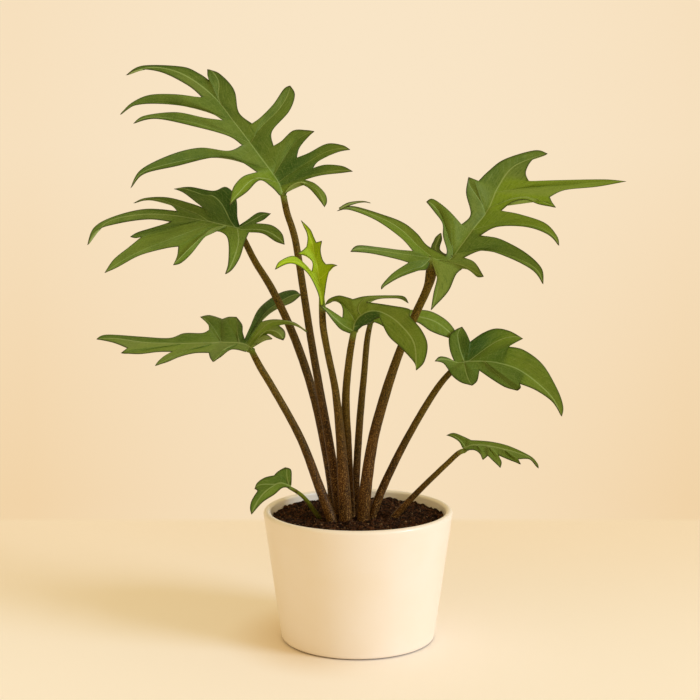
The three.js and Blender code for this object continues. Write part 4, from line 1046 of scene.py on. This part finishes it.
grow(
    "upper_left", green_leaf, brown_stalk,
    junction=(-58.5, 352, 12), lean=(0.12, 0.5), start=(-60.8, 351.5), end=(-56.2, 351.5),
    midrib=[(-62, 362), (-77, 383), (-95, 407), (-112, 428), (-135, 444), (-158, 448.8)],
    lobes=[
        dict(root=0.06, toward=30, tip=(-99.5, 343.5),
             rise=[(-67, 358), (-76, 363), (-86, 354), (-96, 347)],
             fall=[(-98, 353), (-95, 360), (-88, 366.5)], notch=(-78, 369.3), tone=(-0.1, 0.1, 0, 0.1),
             lime=0.7),
        dict(root=0.14, toward=22, tip=(-176, 357),
             rise=[(-94, 379), (-112, 380.5), (-140, 374), (-165, 368)],
             fall=[(-168, 371), (-145, 382.5), (-122, 388), (-100, 385.7)], notch=(-89.5, 390),
             tone=(-0.35, -0.25, 0.1, -0.4), lime=0.15),
        dict(root=0.27, toward=10, tip=(-173, 406.5), rise=[(-100, 397), (-125, 404), (-155, 410)],
             fall=[(-164, 412.5), (-140, 415), (-118, 410.8)], notch=(-104, 409),
             tone=(0.15, -0.2, 0.05, -0.1), lime=0.1),
        dict(root=0.39, toward=2, tip=(-183, 413), rise=[(-118, 416.5), (-145, 421), (-170, 420.5)],
             fall=[(-174, 422), (-160, 428), (-140, 428.5)], notch=(-119.5, 426),
             tone=(0.15, -0.2, 0.05, -0.1), lime=0.1),
        dict(root=1, toward=6, tip=(-178, 443), rise=[(-130, 435), (-150, 445), (-168, 447.3)],
             fall=[(-165, 450.2), (-135, 449.5), (-122, 444.5)], notch=(-113.8, 439),
             tone=(0.35, -0.2, -0.15, -0.3), lime=0.05),
        dict(root=0.5, toward=8, tip=(-115.5, 447.5), rise=[(-115.2, 443)],
             fall=[(-106, 444.2), (-95, 432), (-91.5, 415)], notch=(-81.5, 406.5),
             tone=(-0.1, -0.1, -0.05, -0.2), lime=0.05),
        dict(root=0.27, toward=12, tip=(-52, 435.3), rise=[(-75, 411), (-65, 421), (-57, 432.5)],
             fall=[(-48.4, 428), (-53, 415.5), (-66, 400.5)], notch=(-65, 389.5), tone=(0, 0.1, -0.35, 0.1),
             lime=0.15),
        dict(root=0.1, toward=15, tip=(-33.5, 400.5), rise=[(-59, 393), (-50, 401), (-40, 401.5)],
             fall=[(-38, 396.5), (-45, 388)], notch=(-47, 380.5), tone=(-0.1, 0.05, -0.7, 0), lime=0.15),
        dict(root=0.06, toward=20, tip=(-6, 386.5), rise=[(-38, 384), (-24, 391), (-12, 390)],
             fall=[(-16, 384.5), (-30, 378)], notch=(-34.5, 372.5), tone=(-0.85, 0.15, -0.6, 0.2)),
        dict(root=0.03, toward=24, tip=(-4, 370), rise=[(-25, 375), (-12, 374)],
             fall=[(-12, 368.8), (-28, 367)], notch=(-41, 363.5), tone=(-0.8, 0.1, -0.5, 0.3)),
        dict(root=0, toward=26, tip=(-26, 342.3),
             vein=[(-50, 359.3), (-42, 361), (-32, 355.5), (-27.5, 348)],
             rise=[(-33, 360.5), (-25.5, 353), (-24, 346.5)],
             fall=[(-30, 348), (-38, 357), (-46, 360.3), (-52, 358)], tone=(0.1, 0.15, -0.1, -0.1),
             lime=0.35),
    ],
    petiole=[(-15, 97, 2, 4.4), (-17.2, 120, 2.5, 4), (-23.3, 160, 4, 3.5), (-30.2, 200, 6, 3.2),
             (-37, 240, 8, 3), (-43, 280, 10, 2.9), (-49.4, 320, 12, 2.7), (-55, 338, 12, 2.6),
             (-58.5, 352, 12, 2.5)],
)


# The middle left leaf: a broad blade of nine lobes that leans well back, so its long lobes fan out to the
# left and droop at their tips. It is the same thin tissue as the first, on a stalk at the back of the clump.
grow(
    "middle_left", green_leaf, brown_stalk,
    junction=(-91, 325, 45), lean=(0.06, 0.85), start=(-84.5, 323), end=(-84.5, 323),
    midrib=[(-97, 327), (-120, 332), (-145, 336), (-170, 336.5), (-195, 330.5)],
    lobes=[
        dict(root=0.02, toward=22, tip=(-103.5, 290.5), rise=[(-88, 315), (-92, 303), (-98, 294)],
             fall=[(-101, 300), (-101, 317), (-106, 323)], notch=(-115, 324), tone=(0.1, 0.1, 0, -0.1),
             lime=0.4),
        dict(root=0.08, toward=20, tip=(-144, 297.5), vein=[(-112, 325.5), (-122, 318.6), (-132, 309.5)],
             rise=[(-120, 318.5), (-130, 306), (-138, 299)], fall=[(-140.5, 305)], notch=(-139.5, 312),
             tone=(0, 0, 0, 0), lime=0.35),
        dict(root=0.16, toward=22, tip=(-197.5, 291.5), rise=[(-150, 310.5), (-170, 305), (-188, 295.5)],
             fall=[(-190, 302), (-178, 311.5)], notch=(-168, 319.5), tone=(0.15, 0.1, 0.1, 0.1), lime=0.25),
        dict(root=0.24, toward=10, tip=(-177, 319.5), rise=[(-172.5, 318.6)],
             fall=[(-171, 323), (-158, 327)], notch=(-145, 331), tone=(0, -0.2, -0.1, -0.3), lime=0.1),
        dict(root=1, toward=18, tip=(-210.5, 313), rise=[(-162, 333), (-185, 330), (-204, 324)],
             fall=[(-205, 326.5), (-190, 335), (-165, 341)], notch=(-140, 339.5),
             tone=(0.2, 0.1, -0.05, -0.2), lime=0.1),
        dict(root=0.2, toward=4, tip=(-174, 345.5),
             vein=[(-125, 337), (-140, 343), (-152, 347.6), (-165, 348.4)],
             rise=[(-147, 345.3), (-162, 348.2)], fall=[(-165, 349.4), (-148, 350), (-130, 345.5)],
             notch=(-118.5, 341.5), tone=(-0.3, -0.1, -0.2, 0), lime=0.1),
        dict(root=0.05, toward=-2, tip=(-142.5, 356.5), rise=[(-125, 346), (-135, 353.5)],
             fall=[(-130, 358), (-112, 355), (-102, 358), (-94.5, 350), (-93.5, 335)], notch=(-92, 328.5),
             tone=(-0.5, -0.4, -1, -0.6), lime=0.1),
        dict(root=0.02, toward=2, tip=(-67.5, 337.5), rise=[(-86, 332.5), (-77, 338.3)],
             fall=[(-73, 332.8)], notch=(-79.5, 330), tone=(-0.5, -0.6, -0.4, -0.5), lime=0.1),
        dict(root=0, toward=14, tip=(-57, 313.5), rise=[(-67, 328.5), (-59, 322)],
             fall=[(-64, 315.8), (-74, 322)], tone=(0.05, 0, -0.1, -0.15)),
    ],
    petiole=[(-19.5, 97, 11, 4.3), (-20.4, 120, 12, 4), (-27.2, 160, 15, 3.6), (-36.3, 200, 19, 3.4),
             (-49.6, 240, 26, 3.3), (-67.8, 280, 34, 3), (-80, 300, 40, 2.7), (-87, 314, 46, 2.6),
             (-91, 325, 45.5, 2.4)],
)


# The lower left leaf: a long flat blade of ten lobes, seen nearly edge on, with one painted dark with shade
# that stands up behind the stalk. It grows on a stalk that leans out of the clump to the left.
grow(
    "lower_left", green_leaf, brown_stalk,
    junction=(-85, 232, -18), lean=(0, 1.8), start=(-88, 229.5), end=(-82.4, 233.5),
    midrib=[(-92, 236), (-110, 236.5), (-135, 236), (-165, 236.5), (-190, 239.8)],
    lobes=[
        dict(root=0.08, toward=8, tip=(-114, 221.5), rise=[(-99, 231.3), (-108, 225.2)], fall=[(-116, 225)],
             notch=(-117, 228.8), tone=(0.3, 0.05, 0.3, 0), lime=0.1),
        dict(root=0.24, toward=12, tip=(-159.5, 218.5), rise=[(-128, 228.5), (-140, 225.5), (-150, 221.3)],
             fall=[(-156.5, 222.5), (-151, 227)], notch=(-146, 229.5), tone=(0.3, 0.1, 0.2, 0.1), lime=0.3),
        dict(root=0.45, toward=8, tip=(-186, 228.5), rise=[(-157, 229.4), (-172, 227.8)],
             notch=(-181, 232.5), tone=(0.3, 0.3, 0.35, 0.2), lime=0.35),
        dict(root=1, toward=14, tip=(-205, 239.5), rise=[(-192, 236.8)],
             fall=[(-197, 243), (-170, 241.5), (-148, 240.4), (-136, 244.3), (-122, 244.4)],
             notch=(-116.5, 247), tone=(0.4, 0, -0.15, -0.3), lime=0.1),
        dict(root=0.2, toward=4, tip=(-123.5, 257), rise=[(-117.5, 252)], fall=[(-116, 258.5)],
             notch=(-106, 255.5), tone=(0.05, -0.1, -0.1, -0.25), lime=0.1),
        dict(root=0.08, toward=4, tip=(-95, 257), rise=[(-101, 257.2)], fall=[(-90.6, 251), (-90.2, 245)],
             notch=(-88.8, 239.5), tone=(-0.35, 0, -0.7, -0.4)),
        dict(root=0.03, toward=-6, tip=(-44.5, 274),
             rise=[(-84.5, 249), (-77, 264), (-62, 275.3), (-50, 278)],
             fall=[(-52, 268), (-64, 263.3), (-72, 258)], notch=(-75.5, 253.5),
             tone=(-0.7, -0.9, -0.7, -0.2)),
        dict(root=0.02, toward=24, tip=(-39, 244.5),
             vein=[(-76, 247), (-68, 252.8), (-57, 253.8), (-47, 250.6)], rise=[(-65, 255.2), (-50, 252.8)],
             fall=[(-48, 249.6), (-58, 252.6)], notch=(-64.5, 252.4), tone=(0.1, 0.2, 0, 0.2), lime=0.5),
        dict(root=0.01, toward=30, tip=(-58.5, 238.5), vein=[(-73, 245.6), (-66, 247.2), (-60.5, 243.5)],
             rise=[(-58, 247), (-56.8, 242)], fall=[(-64, 240.6), (-69.5, 244)], notch=(-75, 244.4),
             tone=(0.05, 0.05, 0, -0.1), lime=0.3),
        dict(root=0, toward=34, tip=(-67, 239.9), rise=[(-71, 243)], fall=[(-74, 238.8)],
             tone=(0.2, 0.2, 0.2, 0.1), lime=0.5),
    ],
    petiole=[(-21.5, 97, -17, 4), (-30.2, 120, -15, 3.8), (-45.2, 160, -15, 3.1), (-66.6, 200, -17, 2.8),
             (-77.2, 218, -18, 2.7), (-85, 232, -18.5, 2.4)],
)


# The small left leaf: a young blade of three short lobes, a little darker with painted shade, that hangs
# over the pot's left rim. Its thin stalk is still green, and curves out of the soil by itself.
GREEN_STALK_TONES = (
    (0.05, 0.05, 0.003), (0.15, 0.14, 0.012), (0.38, 0.35, 0.09), (0.14, 0.165, 0.01)
)
green_stalk = stalk_skin("green_stalk", "green_petiole", GREEN_STALK_TONES)
grow(
    "small_left", green_leaf, green_stalk,
    junction=(-53.6, 121.8, -30), lean=(0, 0.9), start=(-54.6, 120.6), end=(-53, 123),
    midrib=[(-62, 124.5), (-72, 119), (-80, 109.5)],
    lobes=[
        dict(root=1, toward=4, tip=(-84.8, 99), rise=[(-60, 120.6), (-66.5, 115.2), (-76, 108.8)],
             fall=[(-85.9, 104), (-84.5, 110.5)], notch=(-79.8, 118.2), tone=(0, 0.05, -0.25, -0.1)),
        dict(root=0.3, toward=0, tip=(-82.2, 119.7), rise=[(-80.8, 119.4)], fall=[(-80, 124.7), (-74, 129)],
             notch=(-66.5, 130.8), tone=(-0.3, -0.2, -0.3, -0.1), lime=0.1),
        dict(root=0.05, toward=2, tip=(-57.7, 137.3), rise=[(-63.5, 134)],
             fall=[(-53.2, 135.5), (-52.6, 129)], tone=(-0.25, -0.1, -0.15, -0.1), lime=0.1),
    ],
    petiole=[(-31, 97, -4, 1.9), (-36, 103.8, -9, 1.8), (-40.3, 110, -14.5, 1.6), (-46.8, 116.3, -22, 1.5),
             (-53.6, 121.8, -30, 1.4)],
)


# The young leaf: soft lime green tissue that is still opening, so it stands upright and narrow. It sits
# straight on the thick stalk in the middle of the clump, which is as brown as the rest.
YOUNG_TONES = dict(
    green=(0.26, 0.40, 0.001), dark=(0.14, 0.25, 0.001), light=(0.40, 0.53, 0.008),
    vein_colour=(0.50, 0.60, 0.06), lime_colour=(0.36, 0.46, 0.001),
)
young_leaf = leaf_skin("young_leaf", "young_blade", **YOUNG_TONES)
grow(
    "young", young_leaf, brown_stalk,
    junction=(-28.2, 266.5, -26), lean=(0, 0.12), start=(-29.4, 266), end=(-27, 266),
    midrib=[(-29.3, 280), (-31.5, 295), (-34, 308), (-36.5, 318)],
    lobes=[
        dict(root=0.2, toward=20, tip=(-64.8, 294), rise=[(-32, 277.5), (-40, 292), (-52, 298.8)],
             fall=[(-61, 300.5), (-50, 304.7), (-40.5, 297.8)], notch=(-36.3, 291.8),
             tone=(0.5, 0.4, 0.2, 0.2), lime=0.3),
        dict(root=0.45, toward=8, tip=(-47.5, 306.3), rise=[(-35.3, 299), (-39.5, 304.6)],
             fall=[(-43, 309.2)], notch=(-40, 312), tone=(0.4, 0.4, 0.3, 0.3), lime=0.3),
        dict(root=1, toward=3, tip=(-44.3, 332.5), rise=[(-39.2, 319), (-41, 326.5)],
             fall=[(-37.2, 325.5), (-34.4, 319.5)], notch=(-32.5, 315.3), tone=(0.5, 0.4, -0.2, -0.1),
             lime=0.3),
        dict(root=0.5, toward=8, tip=(-28.2, 316.5), fall=[(-29.1, 309), (-27.6, 302)], notch=(-25, 298.3),
             tone=(-0.2, 0, -0.2, 0), lime=0.3),
        dict(root=0.3, toward=12, tip=(-16, 297.3), rise=[(-20, 298.5)],
             fall=[(-20.5, 296), (-23.6, 289), (-25.9, 275)], tone=(-0.1, 0.1, -0.1, 0.1), lime=0.3),
    ],
    petiole=[(-9.8, 97, -15, 5.2), (-11.9, 130, -16.5, 4.6), (-13.8, 160, -18, 3.7), (-18, 200, -20, 2.85),
             (-24, 230, -22.5, 2.65), (-27.4, 250, -24.5, 2.7), (-28.2, 266.5, -26, 2.6)],
)


# The front centre leaf: it droops towards the viewer, so its end lobe hangs down in front and the others
# show edge on behind it. The last lobe is painted dark with shade: it stands for the hollow under its fold.
grow(
    "front_centre", green_leaf, brown_stalk,
    junction=(-3.8, 246, -30), lean=(-0.3, 0.45), start=(-6.4, 244), end=(-1.3, 245.4),
    midrib=[(-2, 253), (3, 258.6), (11, 261.6), (21, 259.5), (33, 251), (44, 236)],
    lobes=[
        dict(root=0, toward=22, tip=(-29.8, 265.9), rise=[(-13.2, 246.8), (-18.7, 252.6), (-25, 261)],
             fall=[(-25, 264.6), (-18, 260.2)], notch=(-12.2, 256.3), tone=(-0.3, 0, -0.1, 0.1), lime=0.4),
        dict(root=0.08, toward=-10, tip=(-25.8, 266.3), rise=[(-12.2, 264), (-16.5, 270.3), (-22, 267.8)],
             fall=[(-22.8, 271), (-15.5, 273.8), (-9, 272.7)], notch=(-4, 271), tone=(0.1, 0.1, 0.2, 0),
             lime=0.5),
        dict(root=0.16, toward=-12, tip=(39.6, 267.6), vein=[(0, 263), (5, 271), (20, 272.7), (33, 272)],
             rise=[(6, 273.3), (25, 273.9), (36, 273)], fall=[(35, 271.2), (20, 271.6), (10, 270.4)],
             notch=(6.5, 268.8), tone=(0.2, 0.4, 0.1, 0.2), lime=0.4),
        dict(root=1, toward=24, tip=(45.6, 214.7),
             rise=[(24, 266.3), (40.2, 263.2), (40.7, 258), (50, 246.5), (54.5, 235), (52, 221.5)],
             fall=[(44, 221), (33, 233.2), (23.5, 242.5)], notch=(16.8, 256.5), tone=(0.15, -0.05, 0.05, 0),
             lime=0.35),
        dict(root=0.04, toward=-6, tip=(9.5, 251.3), rise=[(12.6, 254.8)], fall=[(4, 249.9)],
             tone=(-0.9, -0.9, -0.8, -0.9), lime=0.1),
    ],
    petiole=[(-5.5, 97, -1, 3.5), (-7, 130, -4.5, 3.3), (-8.4, 160, -8, 3.3), (-9.6, 180, -11, 3.3),
             (-9.3, 200, -15, 3), (-6.1, 230, -25, 2.7), (-3.8, 246, -30, 2.5)],
)


# The back centre leaf: it faces away, behind the front centre one, so that little more than its end lobe
# shows. The lobes that reach back are what such a leaf would have there.
grow(
    "back_centre", green_leaf, brown_stalk,
    junction=(8.8, 254, 13), lean=(0.15, 0.6), start=(7, 253), end=(10.8, 253.4),
    midrib=[(15, 258), (30, 258.8), (46, 257.4), (62, 252.3)],
    lobes=[
        dict(root=0, toward=-26, tip=(-2, 262), rise=[(2, 256.5)], fall=[(4, 263.5)], notch=(9, 261.5),
             tone=(-0.6, -0.5, -0.5, -0.4)),
        dict(root=0.06, toward=-62, tip=(24, 266.3), rise=[(14, 265.2)], fall=[(24.5, 264.3)],
             notch=(24, 262.3), tone=(0, 0, 0, 0), lime=0.5),
        dict(root=1, toward=-4, tip=(78.5, 238.5),
             rise=[(42, 262.6), (56, 261.6), (68, 255.3), (75.5, 247)],
             fall=[(70, 240.8), (57, 245.8), (46, 252.8)], notch=(33, 253.5), tone=(0.1, 0.2, 0.2, 0.2),
             lime=0.6),
        dict(root=0.1, toward=4, tip=(41.5, 234), rise=[(39.5, 243.5)], fall=[(31, 240), (19, 250)],
             tone=(0, 0, 0, 0), lime=0.4),
    ],
    petiole=[(-2.5, 97, 11, 3.1), (-1.4, 130, 11, 3), (1.8, 180, 11, 2.85), (4.8, 212, 11.5, 2.6),
             (7.3, 240, 13, 2.4), (8.8, 254, 14, 2.1)],
)


# The upper right leaf: a large open blade of twelve lobes, olive and painted lighter where the light falls,
# and lime at its long right tip. A narrow lobe and the tip of another fold back over it, as two ribbons of
# the same tissue, and its thick stalk bends just below the blade.
grow(
    "upper_right", green_leaf, brown_stalk,
    junction=(56.6, 303, -20), lean=(0.06, 0.55), start=(56.6, 303), end=(56.6, 303),
    midrib=[(64, 301), (72, 302), (80.5, 313), (90, 326), (100.5, 339.7), (108, 357), (120.6, 373.7)],
    lobes=[
        dict(root=0, toward=24, tip=(18.3, 278.5), rise=[(54, 294.5), (46.5, 293), (33, 288), (22, 281.8)],
             fall=[(18.6, 282), (27.1, 291.4)], notch=(39.2, 299.5), tone=(-0.2, -0.1, -0.1, 0)),
        dict(root=0.005, toward=22, tip=(-6, 308), rise=[(29.8, 302.3), (10, 306.6)],
             fall=[(0, 312.8), (18, 311.3), (30, 309.7)], notch=(42.4, 308.7), tone=(0.05, 0, -0.1, 0.1)),
        dict(root=0.015, toward=12, tip=(-16.5, 339.5), rise=[(33, 319), (14, 332.3), (-6, 340.2)],
             fall=[(-4, 343.2), (22, 335.8), (36, 330), (46, 322), (54, 312.8)], notch=(68.3, 304.9),
             tone=(-0.1, 0.2, 0.05, 0.2), lime=0.45),
        dict(root=0.14, toward=6, tip=(52.8, 346.6), rise=[(69, 309.5), (66, 320), (65.4, 330), (59, 339)],
             fall=[(58, 348.7), (69, 341)], notch=(80.2, 329.2), tone=(0, 0, 0.1, 0), lime=0.3),
        dict(root=0.46, toward=8, tip=(85.5, 365.6), rise=[(87.2, 337), (83.6, 353.5)], notch=(93.1, 362.6),
             tone=(0.2, 0.1, 0.05, 0.05), lime=0.1),
        dict(root=1, toward=6, tip=(146.3, 383.5), rise=[(100.5, 370), (113, 379.2), (136, 386)],
             fall=[(135, 379), (129.6, 369.5)], notch=(132, 362.4), tone=(-0.05, 0, 0.15, 0), lime=0.1),
        dict(root=0.6, toward=10, tip=(207.5, 362.3), rise=[(155, 363.2), (190, 363.8)],
             fall=[(185, 358.2), (160, 355.6)], notch=(148.2, 350.2), tone=(0, 0.1, 0.4, 0.2), lime=0.75),
        dict(root=0.5, toward=8, tip=(153.5, 342.2),
             vein=[(112, 346.2), (120, 348.8), (130, 349.7), (142, 347)], rise=[(150, 346.5)],
             fall=[(140, 344.6), (130, 348.4), (120, 346.6)], notch=(111.2, 339.7),
             tone=(-0.1, -0.1, -0.1, -0.1), lime=0.9),
        dict(root=0.34, toward=22, tip=(156.4, 312.5), rise=[(126, 336.8), (145, 330.3), (154.7, 320)],
             fall=[(147, 321.5), (130, 327.2), (108, 327.2)], notch=(95, 320.4),
             tone=(-0.15, 0.1, -0.2, -0.3), lime=0.6),
        dict(root=0.17, toward=26, tip=(144.5, 282.5), rise=[(110, 318), (130, 307.5), (143, 295)],
             fall=[(136, 293.4), (118, 303), (98, 309)], notch=(82.6, 303.4), tone=(-0.3, -0.2, 0.1, 0)),
        dict(root=0.04, toward=24, tip=(98, 288.6), rise=[(91, 299.5)], fall=[(93, 288.3), (87, 293.5)],
             notch=(81.5, 294.8), tone=(0.2, 0, 0.2, -0.1)),
        dict(root=0, toward=24, tip=(56.9, 262.2), rise=[(76.3, 290), (70, 276.5)],
             fall=[(59, 276), (61.6, 288.5), (58.6, 298)], tone=(0.35, 0.3, 0.25, 0.15), lime=0.4),
    ],
    petiole=[(4.2, 97, -14, 4.9), (6, 120, -14.5, 4.8), (12, 160, -15.5, 4.2), (22.7, 200, -16.5, 3.8),
             (32.8, 230, -18, 3.3), (45.3, 260, -19, 3.1), (54.2, 280, -20, 3.3), (56.8, 291, -19.5, 4.2),
             (56.8, 303, -19, 3)],
    folded=[
        [(73, 303.4, -18.8, 1.6), (66.5, 304.8, -14.5, 2), (61.8, 307.4, -11, 3), (60.2, 311, -9.5, 3.5),
         (61.3, 314.6, -8.5, 3), (62.8, 318.4, -8, 2.7), (64.3, 322.3, -7.5, 0.4)],
        [(-14.5, 341, -15.8, 0.9), (-8, 344.4, -14.6, 1.4), (-1, 346.2, -13, 0.9), (5, 346.6, -12, 0.5),
         (9.7, 345.6, -11.5, 0.2)],
    ],
)


# The middle right leaf: a broad blade of six lobes, dark in places with painted shade, that arches over to a
# long drooping tip. It grows on a stalk that leans out of the clump to the right.
grow(
    "middle_right", green_leaf, brown_stalk,
    junction=(79.5, 220.6, 2), lean=(0, 0.6), start=(70.5, 216), end=(70.5, 216),
    midrib=[(89, 222), (100, 222), (111, 220.3), (125, 215.8), (139, 206.4), (153, 193)],
    lobes=[
        dict(root=0.01, toward=6, tip=(60.2, 222), rise=[(66.5, 220.7)], fall=[(64, 225.7), (70.5, 224.8)],
             notch=(75.6, 221.8), tone=(0.1, 0.25, 0.1, 0.1), lime=0.3),
        dict(root=0.03, toward=-2, tip=(81.5, 249.3), rise=[(72, 231), (71.3, 241.5), (76, 246.6)],
             fall=[(85, 244)], notch=(87.8, 237.6), tone=(-0.15, -0.2, -0.75, -0.2)),
        dict(root=0.08, toward=4, tip=(129.4, 239.9), rise=[(98, 244.6), (108, 247.9), (119, 245.8)],
             fall=[(123, 236.8)], notch=(117.8, 233.7), tone=(-1, 0.15, -0.6, 0.1), lime=0.4),
        dict(root=1, toward=14, tip=(160.9, 178),
             rise=[(130, 231), (145, 219.5), (157, 199.5), (161.7, 186)], fall=[(153, 189.8), (140, 199)],
             notch=(127.2, 204.2), tone=(0.05, 0.15, 0.05, 0.2), lime=0.35),
        dict(root=0.2, toward=8, tip=(125.8, 198.8), rise=[(127.9, 201.5)], fall=[(116, 201.4), (105, 208)],
             notch=(95.3, 214.7), tone=(-0.3, -0.1, -0.1, -0.2), lime=0.1),
        dict(root=0.03, toward=8, tip=(89.9, 202.8), rise=[(93.7, 206.5)], fall=[(81, 205.3), (74, 210.6)],
             tone=(-0.1, -0.25, 0.05, 0), lime=0.1),
    ],
    petiole=[(10.6, 97, -4, 3.6), (19.3, 120, -3, 3.3), (38.5, 160, -1, 2.9), (61.9, 200, 3, 2.6),
             (72.4, 213, 6, 2.4), (79.5, 220.6, 3, 2.2)],
)


# The small right leaf: a narrow, nearly flat blade of five short lobes, seen from just above its edge.
# Its thin brown stalk rises out of the soil near the pot's right wall.
grow(
    "small_right", green_leaf, brown_stalk,
    junction=(84, 152.3, -12), lean=(-0.05, 1.5), start=(82.6, 153), end=(85.4, 150.9),
    midrib=[(90, 155), (100, 155), (112, 152.6), (125, 149.2), (136, 145)],
    lobes=[
        dict(root=0.02, toward=-4, tip=(69.8, 163), rise=[(79.8, 158), (74.5, 161.5)],
             fall=[(75.5, 165), (83, 162.3)], notch=(89.5, 159.1), tone=(0.1, 0, 0.1, 0), lime=0.25),
        dict(root=1, toward=6, tip=(143.2, 136.4),
             rise=[(105, 158), (120, 154.2), (136, 146.6), (142, 140.6)], fall=[(136.5, 143.5)],
             notch=(126.8, 144), tone=(0.1, 0, 0.15, 0), lime=0.3),
        dict(root=0.5, toward=4, tip=(129, 139.7), fall=[(120, 143.2)], notch=(111.2, 147),
             tone=(0.05, 0, 0, -0.1)),
        dict(root=0.3, toward=4, tip=(112.8, 136.9), rise=[(113.7, 141.5)], notch=(102.6, 146.7),
             tone=(0, 0.05, 0, -0.1)),
        dict(root=0.15, toward=4, tip=(99, 143.3), fall=[(96, 148.6), (91.5, 151.2)],
             tone=(0, 0, 0.05, -0.1)),
    ],
    petiole=[(28.5, 97, -8, 2.7), (50, 120, -10, 2.3), (70.3, 140, -11.5, 2.1), (80, 149, -12, 2),
             (84, 152.3, -12.2, 1.9)],
)
